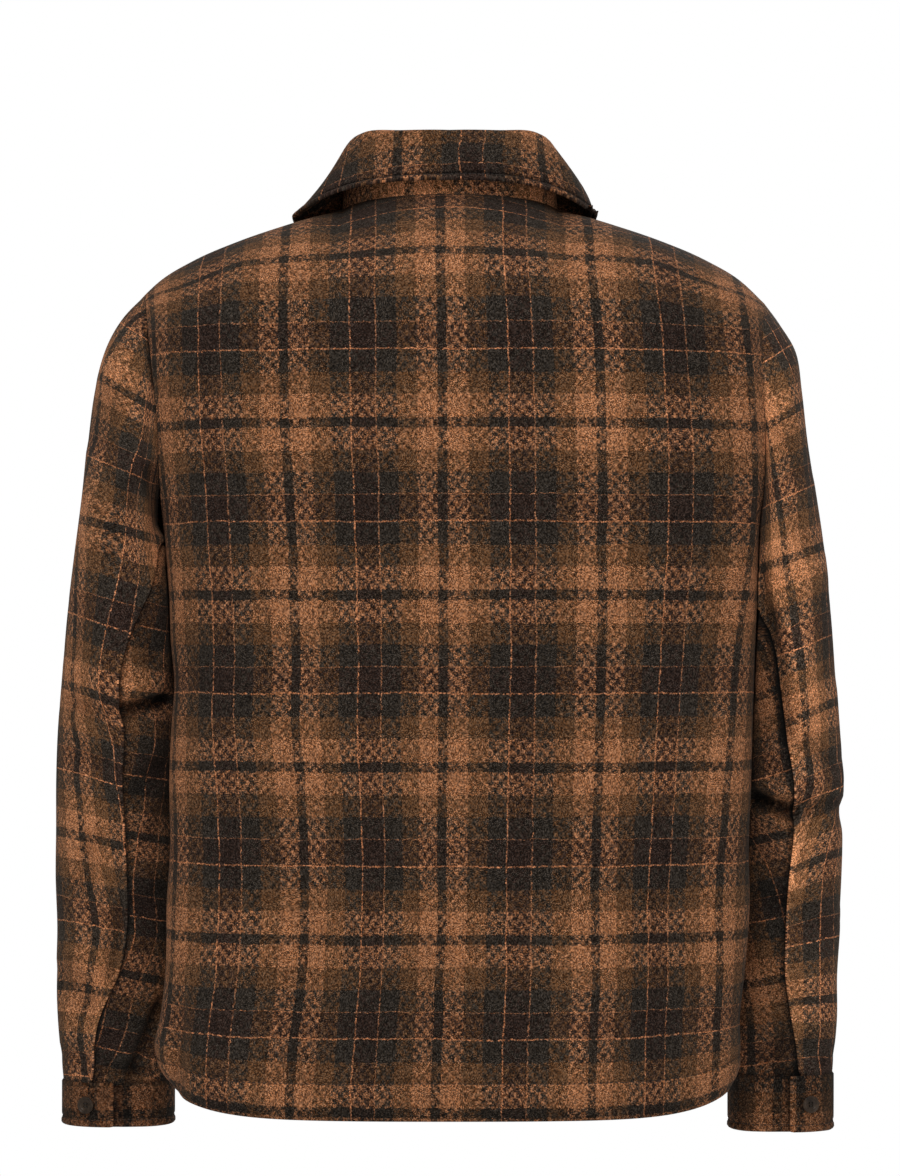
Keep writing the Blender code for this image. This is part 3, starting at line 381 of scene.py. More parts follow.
FALL_PLACE = (-0.0375, -0.2419)
STAND_PLACE = (-0.0280, -0.1678)
CUFF_PLACE = {"left": (0.0585, 0.5526), "right": (0.0120, 0.5737)}
SHOULDER_WEFT = ((0.0, 0.0695, 0.1255, 0.2255), (0.0, 0.0594, 0.1167, 0.2187))   # run, weft
SHOULDER_SPREAD = 0.62
SHOULDER_END = 0.165      # which start this far from the middle
SHOULDER_BLEND = 0.07

# Finer creases of the visible cloth, as seen from behind: start and end, across
# and up, depth (proud if negative) and half width

BACK_CREASES = (
    Fold(0.2181, -0.6202, 0.2206, -0.7130, 0.0026, 0.0060),
    Fold(-0.1230, -0.0839, -0.1214, -0.2049, -0.0014, 0.0180),
    Fold(0.1206, -0.0275, 0.1544, -0.1646, 0.0013, 0.0220),
    Fold(-0.1762, -0.0372, -0.2052, -0.1646, 0.0014, 0.0200),
    Fold(0.1690, -0.5517, 0.1738, -0.7194, -0.0014, 0.0200),
    Fold(0.0198, -0.5759, 0.0157, -0.7210, 0.0011, 0.0300),
    Fold(-0.0907, -0.5759, -0.0940, -0.7210, -0.0012, 0.0240),
    Fold(0.2012, -0.2775, 0.2125, -0.4388, 0.0014, 0.0130),
    Fold(-0.2052, -0.2452, -0.2230, -0.3904, 0.0014, 0.0140),
    Fold(0.0802, -0.2775, 0.0899, -0.4388, -0.0008, 0.0300),
    Fold(-0.0730, -0.3259, -0.0794, -0.4952, 0.0009, 0.0300),
    Fold(-0.1536, -0.5114, -0.1698, -0.6807, 0.0012, 0.0180),
    Fold(0.1206, -0.5517, 0.1238, -0.7049, 0.0010, 0.0200),
)
FRONT_CREASES = {
    "left": (
        Fold(0.1500, -0.1200, 0.1900, -0.2300, 0.0020, 0.0160),
        Fold(0.1050, -0.1500, 0.1180, -0.3300, -0.0014, 0.0220),
        Fold(0.1850, -0.3300, 0.1700, -0.5200, 0.0016, 0.0150),
        Fold(0.0700, -0.4800, 0.0820, -0.7100, -0.0014, 0.0240),
        Fold(0.1380, -0.5200, 0.1420, -0.7150, 0.0015, 0.0180),
        Fold(0.1950, -0.5900, 0.2010, -0.7100, -0.0014, 0.0120),
    ),
    "right": (
        Fold(-0.1560, -0.1100, -0.2000, -0.2450, 0.0019, 0.0150),
        Fold(-0.1120, -0.1700, -0.1050, -0.3700, -0.0013, 0.0240),
        Fold(-0.1900, -0.3000, -0.1820, -0.4700, 0.0017, 0.0140),
        Fold(-0.0850, -0.5200, -0.0790, -0.7120, -0.0015, 0.0220),
        Fold(-0.1450, -0.4900, -0.1550, -0.7140, 0.0014, 0.0200),
        Fold(-0.2040, -0.6100, -0.1990, -0.7080, 0.0016, 0.0110),
    ),
}
SLEEVE_CREASES = {
    "left": (
        Fold(0.2431, -0.1985, 0.2302, -0.2581, 0.0040, 0.0070),
        Fold(0.2464, -0.0680, 0.2359, -0.1400, 0.0052, 0.0042),
        Fold(0.2673, -0.4001, 0.2238, -0.3888, 0.0062, 0.0052),
        Fold(0.2673, -0.3855, 0.2254, -0.3775, -0.0026, 0.0085),
        Fold(0.3125, -0.3904, 0.2722, -0.4049, 0.0024, 0.0060),
        Fold(0.3093, -0.4275, 0.2722, -0.4436, 0.0018, 0.0080),
        Fold(0.2577, -0.2049, 0.2819, -0.2855, 0.0018, 0.0120),
        Fold(0.2649, -0.5501, 0.2730, -0.6210, 0.0022, 0.0070),
        Fold(0.3141, -0.5985, 0.2899, -0.6420, 0.0016, 0.0100),
        Fold(0.2286, -0.4372, 0.2593, -0.4726, 0.0026, 0.0085),
        Fold(0.2270, -0.5388, 0.2577, -0.5565, 0.0016, 0.0095),
        Fold(0.2290, -0.6280, 0.2620, -0.7000, 0.0046, 0.0046),
        Fold(0.2819, -0.6855, 0.2319, -0.6896, 0.0030, 0.0045),
        Fold(0.2948, -0.3065, 0.2996, -0.3614, 0.0012, 0.0100),
        Fold(0.2851, -0.4952, 0.3028, -0.5517, 0.0014, 0.0095),
        Fold(0.2496, -0.3097, 0.2415, -0.3678, 0.0016, 0.0100),
        Fold(0.2722, -0.1355, 0.2867, -0.1904, 0.0015, 0.0120),
        Fold(0.3141, -0.6694, 0.2931, -0.6839, 0.0018, 0.0070),
    ),
    "right": (
        Fold(0.2423, -0.4670, 0.2601, -0.4759, 0.0062, 0.0052),
        Fold(0.2601, -0.4759, 0.2827, -0.4815, 0.0064, 0.0050),
        Fold(0.2440, -0.4557, 0.2794, -0.4678, -0.0028, 0.0085),
        Fold(0.2827, -0.4815, 0.3165, -0.4710, 0.0034, 0.0060),
        Fold(0.2569, -0.3130, 0.2730, -0.4323, 0.0050, 0.0075),
        Fold(0.2786, -0.4952, 0.2746, -0.5501, -0.0018, 0.0060),
        Fold(0.2996, -0.2936, 0.3077, -0.3823, 0.0015, 0.0100),
        Fold(0.2843, -0.4210, 0.3133, -0.4452, 0.0022, 0.0085),
        Fold(0.2802, -0.5549, 0.3117, -0.5759, 0.0016, 0.0100),
        Fold(0.2827, -0.6630, 0.3069, -0.6823, 0.0022, 0.0085),
        Fold(0.2440, -0.5388, 0.2730, -0.5565, 0.0022, 0.0090),
        Fold(0.2464, -0.6823, 0.2746, -0.6614, 0.0026, 0.0090),
        Fold(0.2633, -0.1646, 0.2827, -0.2178, 0.0018, 0.0110),
        Fold(0.2746, -0.2291, 0.2956, -0.2775, 0.0014, 0.0110),
        Fold(0.2714, -0.3259, 0.2923, -0.3710, -0.0012, 0.0100),
        Fold(0.2488, -0.2775, 0.2569, -0.3420, 0.0030, 0.0060),
        Fold(0.3036, -0.5194, 0.3117, -0.5614, 0.0014, 0.0080),
        Fold(0.2585, -0.6872, 0.2827, -0.6904, 0.0028, 0.0045),
    ),
}
CUFF_CREASES = {
    "left": (
        Fold(0.2640, -0.6990, 0.2595, -0.7360, 0.0022, 0.0042),
        Fold(0.2830, -0.7040, 0.2650, -0.7215, 0.0014, 0.0028),
        Fold(0.2500, -0.7060, 0.2330, -0.7190, 0.0010, 0.0036),
    ),
    "right": (
        Fold(0.2540, -0.6990, 0.2480, -0.7400, -0.0010, 0.0060),
        Fold(0.2360, -0.6980, 0.2330, -0.7380, 0.0014, 0.0050),
        Fold(0.3020, -0.7010, 0.3060, -0.7350, 0.0010, 0.0034),
    ),
}
SLEEVE_FRONT_CREASES = {
    "left": (
        Fold(0.3130, -0.4060, 0.2360, -0.3830, 0.0040, 0.0060),
        Fold(0.3100, -0.4350, 0.2500, -0.4200, 0.0026, 0.0070),
        Fold(0.3050, -0.3700, 0.2450, -0.3480, -0.0020, 0.0090),
        Fold(0.2600, -0.1900, 0.2860, -0.2900, 0.0018, 0.0120),
        Fold(0.3080, -0.5600, 0.2600, -0.5350, 0.0018, 0.0090),
        Fold(0.2500, -0.6100, 0.2980, -0.6500, 0.0022, 0.0090),
        Fold(0.2430, -0.6880, 0.3050, -0.6860, 0.0024, 0.0050),
    ),
    "right": (
        Fold(0.3130, -0.4680, 0.2420, -0.4500, 0.0042, 0.0060),
        Fold(0.3060, -0.4950, 0.2520, -0.4860, 0.0024, 0.0070),
        Fold(0.3080, -0.4300, 0.2500, -0.4150, -0.0020, 0.0090),
        Fold(0.2650, -0.1800, 0.2880, -0.2700, 0.0016, 0.0120),
        Fold(0.3060, -0.5800, 0.2580, -0.5600, 0.0018, 0.0090),
        Fold(0.2540, -0.6250, 0.2960, -0.6560, 0.0020, 0.0090),
        Fold(0.2480, -0.6890, 0.3040, -0.6850, 0.0024, 0.0050),
    ),
}
EDGE_REACH = 0.0045       # how far from a seam its edge is raised or sunk
STEP_TOP = -0.075         # seams lie flat above this height
STEP_FADE = 0.060
CREASE_TAPER = 5.0        # how fast a crease fades towards its ends
CREASE_END = 0.25         # and what is left of it there, before it is eased
FACING_RATE = 2.5         # how sharply creases stop where a panel turns away
FACING_START = 0.35
BACK_GAIN = 1.4           # strength of the back's creases, and of the sleeves'
SLEEVE_GAIN = 1.25
EDGE_PROUD = 0.0009
EDGE_SUNK = 0.0016
SIDE_SEAM_SUNK = 0.6 * EDGE_SUNK
HEM_PROUD = 0.0006
TURNING_SLOPE = 0.002     # width over which a turned edge falls away
CUFF_EDGE = (0.0045, 0.0004)   # from an edge to its stitches, and how proud it is turned
FALL_STITCHED = (0.0044, 0.0010)
GROOVE = 0.0010           # depth of a line of stitches in the cloth
GROOVE_HALF = 0.0014
VIEW_DISTANCE = 3.0       # the camera stands this far behind the garment
VIEW_Z = -0.342

# Painted shade and highlight: how far each band reaches from an edge, and how much darker it is (a
# painted highlight where negative)

CREASE_PAINTED_SHADE = 85.0        # painted shade for each metre of a crease's depth
PAINTED_SHADE_LIMITS = (-0.20, 0.55)
BACK_SHADE_SHARE = 0.35          # share of that on the back
# painted highlight on the top sleeve's back seam edge and painted shade on the under sleeve's; painted
# highlight along the back's armholes, painted shade under the armhole seam, above the cuffs and towards
# the hem
SEAM_PAINTED_SHADING = {"top": (0.0022, -0.15), "under": (0.0042, 0.55)}
ARMHOLE_HIGHLIGHT = (0.0022, -0.16)
ARMHOLE_SHADE = (0.0032, 0.45)
WRIST_SHADE = (0.0030, 0.45)
HEM_SHADE = (0.0110, 0.20)
LAP_SHADE = (0.0060, 0.55)
LAP_HIGHLIGHT = (0.0022, -0.14)
FALL_PAINTED_SHADING = ((0.0046, 0.0014, 0.42), (0.0020, 0.0018, -0.18))   # place, reach, painted darkening: shade in the stitch groove, a highlight on the rolled edge

# Brushed wool: how each piece's tone differs, painted light on the sleeves and stand and painted shade
# on the cuffs and the right under sleeve, and its weave

SLEEVE_PAINTED_LIGHT = {"left": 1.15, "right": 1.27}
CUFF_PAINTED_SHADE = {"left": 0.66, "right": 0.73}
UNDER_PAINTED_SHADE_RIGHT = 0.90
STAND_PAINTED_LIGHT = 1.18
SWAY = (24.0, 0.0036)     # slow drift of the check: noise scale and reach
FRAY = (330.0, 0.0017)    # ragged edges of its stripes
TEETH = 0.0010            # how far single yarns run past a stripe's edge
TOOTH_CELLS = (330.0, 800.0)
FLOATS = (1150.0, 640.0)  # yarn floats to a metre, across their width and length
FLOAT_MIX = 0.80
BASKET = (0.0086, 0.0098) # two squares of the weave, across and up
BASKET_MIX = 0.46
NAP = 1250.0              # fibres to a metre
NAP_DEPTH = 0.95
GREY_FIBRES = 0.150       # pale and dark fibres brushed up all over
DARKEST = 0.03
CLOUD = (420.0, 3.0, 0.7) # soft blotches: noise scale, detail and roughness
CLOUD_DEPTH = 0.14
DASH_CELLS = (300.0, 420.0)
DASH = (0.34, 0.72, 0.0, 1.0)   # where the thin lines dip under, and how fully they show
DISPLAY_GAMMA = 2.2

# Buttons: out from the middle and up from the cloth, in button radii

ButtonRing = namedtuple("ButtonRing", "out up")
BUTTON_RINGS = (   # outside the sewn middle
    ButtonRing(0.50, 0.240), ButtonRing(0.57, 0.262), ButtonRing(0.61, 0.300),
    ButtonRing(0.66, 0.318), ButtonRing(0.71, 0.300), ButtonRing(0.75, 0.285),
    ButtonRing(0.80, 0.300), ButtonRing(0.86, 0.345), ButtonRing(0.91, 0.360),
    ButtonRing(0.96, 0.335), ButtonRing(0.99, 0.280), ButtonRing(1.00, 0.210),
    ButtonRing(0.98, 0.120), ButtonRing(0.93, 0.050), ButtonRing(0.86, 0.010),
    ButtonRing(0.60, 0.000), ButtonRing(0.30, 0.000),
)
BUTTON_TOP = 0.235        # height of the sewn middle
BUTTON_DISH = 0.42        # which reaches this far out
BUTTON_HOLE = 0.105       # radius of a hole, and its place from the middle
BUTTON_HOLE_OUT = 0.235
HOLE_DROP = 0.16
HORN_COLOURS = ((0.014, 0.009, 0.006, 1.0), (0.058, 0.037, 0.023, 1.0))

# Sewing

THREAD_RADIUS = 0.00032
THREAD_ACROSS = (0.31, 0.17, 0.94)   # a direction that no thread runs in
STITCH_SHARE = 0.72       # of the spacing that shows as thread
STITCH_LIFT = 0.0002      # of a row of stitches over the cloth
HEM_STITCH = 0.0042       # spacing along the hem, and along the small edges
EDGE_STITCH = 0.0036
VENT_BAR_Z = {"left": -0.630, "right": -0.608}   # heights of the bar tacks over the vents
VENT_BAR = 0.011
BAR_STITCH = 0.0026
BAR_ARCH = 0.00028        # rise of a button's thread between its holes
BAR_TUCK = 0.0006         # and how far it dips into them
BAR_LIFT = 0.0003

# Stage

FLOOR_Z = -1.45
FLOOR_HALF = 3.0
WHITE = (1.0, 1.0, 1.0, 1.0)
ROUND_LIGHT = 0.36
SENSOR = 36.0
PICTURE_HEIGHT = 1176.0   # in pixels, as are the focal length and the pitch's rise
FOCAL_PIXELS = 3720.0
RISE_PIXELS = 52.0

# Fineness of the visible cloth

GRAIN = 0.0042            # spacing of the rows and columns of the panels
NECK_COLUMNS = 44
RING_SAMPLES = 481
FRONT_NECK_COLUMNS = 22
OVERHANG_ROWS = 36
SECTION_STEPS = 9         # rows for each section of a sleeve
UNDERARM_STEPS = 6
CUFF_COLUMNS = 190
CUFF_ROWS = 34
STAND_ROWS = 10
FALL_ROWS = 22
EDGE_ROWS = 16            # close rows along the collar's lower edge
EDGE_SHARE = 0.22         # of the fall's depth
RIM_STEPS = 3
SLEEVE_SAMPLES = 361
CUFF_SAMPLES = 721
BAND_SAMPLES = 40         # points looked at for each column of a cuff, to seat its button
BROW_STEPS = (0.25, 0.5, 0.75, 1.0)   # rows over the collar's fold, and down into it
TUCK_STEPS = (0.33, 0.66, 1.0)
HEM_GRAIN = 0.001         # rows lie this close where the hem is stitched
STITCH_ZONE = (HEM_Z + HEM_TURNING - 0.003, HEM_Z + HEM_TURNING + 0.003)
HEM_EDGE_ROW = HEM_Z + 0.0012
BUTTON_SIDES = 56
DISH_STEPS = 13
UNDER_FALL_ROWS = 60      # rows of the body that the collar may lie on


# Curves

def smooth(t):
    """Ease from 0 to 1."""
    t = np.clip(t, 0.0, 1.0)
    return t * t * (3.0 - 2.0 * t)


def curve(xs, ys, at):
    """Read a smooth curve through the given values."""
    xs = np.array(xs, float)
    ys = np.array(ys, float)
    slope = np.gradient(ys, xs)
    at = np.clip(at, xs[0], xs[-1])
    k = np.clip(np.searchsorted(xs, at, side="right") - 1, 0, len(xs) - 2)
    h = xs[k + 1] - xs[k]
    t = (at - xs[k]) / h
    a = (1 + 2 * t) * (1 - t) ** 2
    b = t * (1 - t) ** 2
    c = t * t * (3 - 2 * t)
    d = t * t * (t - 1)
    return a * ys[k] + b * h * slope[k] + c * ys[k + 1] + d * h * slope[k + 1]


def read(table, key, name, at):
    """Read one column of a table at any value of its key, on a smooth curve."""
    return curve([getattr(row, key) for row in table], [getattr(row, name) for row in table], at)


def refine(values, step):
    """Fill in between the given values so that no two lie further apart than step."""
    out = [values[0]]
    for a, b in zip(values[:-1], values[1:]):
        count = max(1, math.ceil(abs(b - a) / step))
        out += [a + (b - a) * k / count for k in range(1, count + 1)]
    return np.array(out)


def between(at, run, points):
    """Points read off at places along a run."""
    return np.stack([np.interp(at, run, points[:, k]) for k in range(3)], axis=-1)


def edge_fractions(edge):
    """Fractions of an edge's length at its points."""
    steps = np.linalg.norm(np.diff(edge, axis=0), axis=1)
    run = np.concatenate([[0.0], np.cumsum(steps)])
    return run / run[-1]


def along(line, fractions):
    """Points at the given fractions of a polyline's length."""
    return between(fractions, edge_fractions(line), line)


def power_cos(angle, power):
    """Cosine of a superellipse."""
    c = np.cos(angle)
    return np.sign(c) * np.abs(c) ** (2.0 / power)


def power_sin(angle, power):
    """Sine of a superellipse."""
    s = np.sin(angle)
    return np.sign(s) * np.abs(s) ** (2.0 / power)


def normals(grid):
    """Unit normals of a grid of points, columns crossed with rows."""
    across = np.gradient(grid, axis=1)
    up = np.gradient(grid, axis=0)
    n = np.cross(across, up)
    length = np.linalg.norm(n, axis=2, keepdims=True)
    return n / np.maximum(length, 1e-12)


def line_weight(x, z, ax, az, bx, bz, width):
    """Strength of a soft trough along the line from a to b, fading at its ends."""
    dx, dz = bx - ax, bz - az
    length2 = dx * dx + dz * dz
    t = ((x - ax) * dx + (z - az) * dz) / length2
    inside = np.clip(t, 0.0, 1.0)
    gap = np.hypot(x - ax - inside * dx, z - az - inside * dz)
    ends = np.clip(np.minimum(t, 1.0 - t) * CREASE_TAPER + CREASE_END, 0.0, 1.0)
    return smooth(ends) * np.exp(-(gap / width) ** 2)


# Body surface

def side_depths(z):
    """Depth of the body's two edges at a height, at the back and at the front."""
    if z <= UNDERARM_Z:
        return SEAM_Y, SEAM_Y
    return float(read(ARMHOLE, "z", "back", z)), float(read(ARMHOLE, "z", "front", z))


def ring_size(z):
    """Centre, half width and the depths behind and before the widest line."""
    left, right, back, front = [float(read(BODY, "z", name, z)) for name in Body._fields[1:]]
    back, front = back - RING_MID_Y, RING_MID_Y - front
    half = 0.5 * (left + right)
    edge = (side_depths(z)[0] - RING_MID_Y) / back
    if edge > 0.0:
        half /= (1.0 - edge ** RING_POWER) ** (1.0 / RING_POWER)
    return 0.5 * (left - right), half, back, front


def ring_point(z, angle):
    """A point of the body's section, its angle counted from +X over the back."""
    mid, half, back, front = ring_size(z)
    s = power_sin(angle, RING_POWER)
    depth = np.where(s > 0, back, front)
    x = mid + half * power_cos(angle, RING_POWER)
    y = RING_MID_Y + depth * s
    return x, y


def angle_at(z, y):
    """Angle of the section's left side at depth y."""
    _, _, back, front = ring_size(z)
    s = (y - RING_MID_Y) / (back if y > RING_MID_Y else front)
    return math.asin(math.copysign(abs(s) ** (RING_POWER / 2.0), s))


def hem_lift(x, z):
    """The hem lies a little higher at the sides; this fades out above it."""
    rise = np.minimum(1.0, np.abs(x) / BODY[0].left) ** HEM_LIFT_POWER
    return HEM_LIFT * rise * max(0.0, 1.0 - (z - HEM_Z) / HEM_LIFT_REACH)


def back_level(z, fractions):
    """One level row of the back, from the left edge to the right edge."""
    edge = angle_at(z, side_depths(z)[0])
    angles = np.linspace(edge, math.pi - edge, RING_SAMPLES)
    x, y = ring_point(z, angles)
    row = along(np.stack([x, y, z + hem_lift(x, z)], axis=1), fractions)
    away_from_seam = smooth((row[:, 1] - side_depths(z)[0]) / FOLD_FADE)
    for fold in FOLDS:
        weight = line_weight(row[:, 0], row[:, 2], *fold[:4], fold.width)
        row[:, 1] -= fold.depth * weight * away_from_seam
    return row


def front_level(z, side, fractions):
    """One level row of a front, from the side seam to past the centre line."""
    edge = angle_at(z, side_depths(z)[1])
    angles = np.linspace(edge, -math.pi / 2 - LAP_TURN, RING_SAMPLES)
    if side == "right":
        angles = math.pi - angles
    x, y = ring_point(z, angles)
    return split_at_centre(np.stack([x, y, z + hem_lift(x, z)], axis=1), side, fractions)


def split_at_centre(line, side, fractions):
    """Share a front's columns so that one lies on the centre line."""
    x = line[:, 0] * SIGN[side]
    k = int(np.argmax(x < 0.0))
    t = x[k - 1] / (x[k - 1] - x[k])
    middle = line[k - 1] + t * (line[k] - line[k - 1])
    body = along(np.vstack([line[:k], middle]), fractions)
    past = (line[-1] - middle) * (FRONT_LAP / abs(line[-1, 0] - middle[0]))
    steps = [middle + past * t for t in LAP_FRACTIONS]
    return np.vstack([body, steps])


def neck_point(angle):
    """A point of the neck seam, its angle counted from the centre back to the left."""
    c, s = math.cos(angle), math.sin(angle)
    front_drop = NECK_FRONT_DROP * max(0.0, -c) ** NECK_FRONT_CURVE
    z = NECK_BACK_Z - NECK_SIDE_DROP * (1.0 - max(c, 0.0)) - front_drop
    return np.array([NECK_HALF * s, NECK_MID_Y + NECK_DEPTH * c, z])


def shoulder_line(side):
    """The shoulder seam from the neck to the armhole."""
    neck = neck_point(NECK_SEAM_ANGLE)
    top = ARMHOLE_TOP[side]
    share = (top - ARMHOLE_NEAR - neck[0]) * np.linspace(0.0, 1.0, SHOULDER_COLUMNS)
    xs = np.concatenate([neck[0] + share, top - ARMHOLE_NEAR * np.array(ARMHOLE_FRACTIONS)])
    ys = neck[1] + (SEAM_Y - neck[1]) * (xs - neck[0]) / (top - neck[0])
    points = np.stack([SIGN[side] * xs, ys, read(SHOULDER, "x", "z", xs)], axis=1)
    points[0] = neck * [SIGN[side], 1.0, 1.0]
    return points


def back_top():
    """Top edge of the back, from the left armhole over the neck to the right."""
    angles = np.linspace(NECK_SEAM_ANGLE, -NECK_SEAM_ANGLE, NECK_COLUMNS + 1)[1:-1]
    neck = np.array([neck_point(a) for a in angles])
    return np.vstack([shoulder_line("left")[::-1], neck, shoulder_line("right")])


def front_top(side):
    """Top edge of a front, from the armhole along the neck to past the centre."""
    angles = np.linspace(NECK_SEAM_ANGLE, math.pi, FRONT_NECK_COLUMNS + 1)[1:]
    neck = np.array([neck_point(a) * [SIGN[side], 1.0, 1.0] for a in angles])
    past = np.array([-SIGN[side] * FRONT_LAP, LAP_FORWARD, LAP_RISE])
    steps = [neck[-1] + past * t for t in LAP_FRACTIONS]
    return np.vstack([shoulder_line(side)[::-1], neck, steps])


def lean_over(level, top):
    """Rows that bend from the last level row over the shoulder to the top edge."""
    neck_share = smooth((LEAN_NECK - np.abs(top[:, 0])) / LEAN_BLEND)
    first = level + np.array(LEAN_START) * (top - level)
    second = top - np.array(LEAN_END) * (top - level)
    second[:, 2] -= LEAN_AT_NECK * neck_share * (top - level)[:, 2]
    grid = []
    for t in np.linspace(0.0, 1.0, OVERHANG_ROWS + 1)[1:]:
        grid.append((1 - t) ** 3 * level + 3 * t * (1 - t) ** 2 * first
                    + 3 * t * t * (1 - t) * second + t ** 3 * top)
    return np.array(grid)


LOWER = np.concatenate([refine((HEM_Z, *STITCH_ZONE, UNDERARM_Z), GRAIN),
                        refine(STITCH_ZONE, HEM_GRAIN), [HEM_EDGE_ROW]])
LOWER = np.unique(np.round(LOWER, 6))
UPPER = refine((UNDERARM_Z, UNDER_SEAM_Z, LEAN_Z), GRAIN)
UNDER_ROW = len(refine((UNDERARM_Z, UNDER_SEAM_Z), GRAIN)) - 1
LEVELS = np.concatenate([LOWER[:-1], UPPER])
FIRST_ARMHOLE_ROW = len(LOWER) - 1


def make_back():
    """Outer points of the back, bottom row first, left edge to right edge."""
    top = back_top()
    share = edge_fractions(top)
    level = np.array([back_level(z, share) for z in LEVELS])
    return np.concatenate([level, lean_over(level[-1], top)])


def make_front(side):
    """Outer points of a front, bottom row first, columns turning the same way."""
    top = front_top(side)
    share = edge_fractions(top[:-len(LAP_FRACTIONS)])
    level = np.array([front_level(z, side, share) for z in LEVELS])
    grid = np.concatenate([level, lean_over(level[-1], top)])
    if side == "right":
        centre = grid[:, -1 - len(LAP_FRACTIONS), 0][:, None]
        under = smooth((LAP_BLEND - (centre - grid[:, :, 0])) / LAP_EASE)
        return press(grid, (CLOTH + 3 * SEAM_GAP) * under)
    return grid[:, ::-1]


# Sleeve surface, with x counted outwards from the middle of the garment

def armhole_line(back, fronts, side):
    """Armhole edge from the underarm up the back and down the front."""
    column = 0 if side == "left" else -1
    up = back[FIRST_ARMHOLE_ROW:, column]
    down = fronts[side][FIRST_ARMHOLE_ROW:, -1 if side == "left" else 0][::-1]
    return np.vstack([up, down[1:]]) * [SIGN[side], 1.0, 1.0]


def sleeve_value(name, t):
    """Read a sleeve column by section number."""
    return float(curve(range(len(SLEEVE)), [getattr(row, name) for row in SLEEVE], t))


def sleeve_section(side, t, degrees):
    """Points of one section at the given turns, 0 outermost, 90 at the back."""
    angle = np.radians(np.asarray(degrees, float))
    out = np.array([sleeve_value(side + "_out", t), sleeve_value("outer_z", t)])
    inn = np.array([sleeve_value(side + "_in", t), sleeve_value("inner_z", t)])
    c = power_cos(angle, SLEEVE_POWER)
    s = power_sin(angle, SLEEVE_POWER)
    mid = 0.5 * (out + inn)
    half = 0.5 * (out - inn)
    x = mid[0] + half[0] * c
    z = mid[1] + half[1] * c
    z = z + WRIST_SHIFT[side] * smooth((WRIST_TOP_Z - z) / WRIST_RUN)
    y = sleeve_value("mid_y", t) + sleeve_value("depth", t) * s
    points = np.stack([x, y, z], axis=1)
    return points - crease_depth(side, points, np.asarray(degrees, float))[:, None] * outward(angle)


def sleeve_row(side, name, t, share):
    """One section of the top or the under sleeve, at shares of its length."""
    seam = sleeve_value(side + "_seam", t)
    span = (FRONT_SEAM, seam) if name == "top" else (seam, FRONT_SEAM + 360.0)
    return along(sleeve_section(side, t, np.linspace(*span, SLEEVE_SAMPLES)), share)


def outward(angle):
    """Direction out of a sleeve's section."""
    return np.stack([np.cos(angle), np.sin(angle), np.zeros_like(angle)], axis=1)


def crease_depth(side, points, degrees):
    """How deep the named creases lie at the given points of a section."""
    depth = np.zeros(len(points))
    for crease in CREASES[side]:
        depth += crease.depth * line_weight(degrees * DEGREE, points[:, 2], crease.deg_a * DEGREE,
                                            crease.z_a, crease.deg_b * DEGREE, crease.z_b,
                                            crease.width)
    return depth


def clear_of_body(points, side, clear):
    """Move sleeve points out where they would press into the side of the body."""
    moved = points.copy()
    for p in moved:
        if p[0] > SLEEVE_APART:
            continue
        z = min(max(p[2], HEM_Z), UNDERARM_Z)
        mid, half, back, front = ring_size(z)
        s = (p[1] - RING_MID_Y) / (back if p[1] > RING_MID_Y else front)
        if abs(s) >= 1.0:
            continue
        wide = SIGN[side] * mid + half * (1.0 - abs(s) ** RING_POWER) ** (1.0 / RING_POWER)
        p[0] = max(p[0], wide + clear)
    return moved


def make_sleeve(side, edge):
    """Outer points of the top sleeve and the under sleeve, wrist row first."""
    seam_b = UNDER_ROW
    seam_f = len(edge) - 1 - UNDER_ROW
    top_edge = edge[seam_b:seam_f + 1][::-1]
    ring = np.vstack([edge[seam_f:-1], edge[:seam_b + 1]])
    steps = np.arange(UNDERARM_STEPS * (len(ring) - 1) + 1) / UNDERARM_STEPS
    under_edge = between(steps, np.arange(len(ring)), ring)[::-1]
    sections = np.arange(1, (len(SLEEVE) - 1) * SECTION_STEPS + 1) / SECTION_STEPS
    sections = np.concatenate([[0.02, 0.05], sections])
    pieces = {}
    for name, piece_edge in (("top", top_edge), ("under", under_edge)):
        share0 = edge_fractions(piece_edge)
        uniform = np.linspace(0.0, 1.0, len(piece_edge))
        grid = []
        for t in sections:
            share = share0 + (uniform - share0) * min(1.0, t / EVEN_AFTER)
            row = sleeve_row(side, name, t, share)
            fade = max(0.0, 1.0 - t / CAP_SECTIONS) ** 2
            if fade > 0.0:
                row = row + fade * (piece_edge - sleeve_row(side, name, 0, share0))
            grid.append(clear_of_body(row, side, TOUCH))
        grid = np.array([piece_edge] + grid)[::-1]
        if side == "right":
            grid = grid[:, ::-1] * [-1.0, 1.0, 1.0]
        pieces[name] = grid
    return pieces


# Cuffs and collar

def make_cuff(side):
    """Outer points of a cuff, a band whose two ends lap at the back."""
    cuff = CUFF[side]
    start = cuff.end_deg - CUFF_LAP
    degrees = np.linspace(start, cuff.end_deg + 360.0, CUFF_SAMPLES)
    base = sleeve_section(side, len(SLEEVE) - 1, degrees)
    under = smooth((cuff.end_deg + CUFF_EASE[0] - degrees) / CUFF_EASE[1])
    proud = CUFF_PROUD - (DOUBLED + 2 * SEAM_GAP) * under
    ring = base + proud[:, None] * outward(np.radians(degrees))
    line = along(ring, np.linspace(0.0, 1.0, CUFF_COLUMNS))
    grid = np.repeat(line[None], CUFF_ROWS + 1, axis=0)
    grid[:, :, 2] = np.linspace(cuff.bottom, cuff.top, CUFF_ROWS + 1)[:, None]
    if side == "right":
        grid = grid[:, ::-1] * [-1.0, 1.0, 1.0]
    return grid


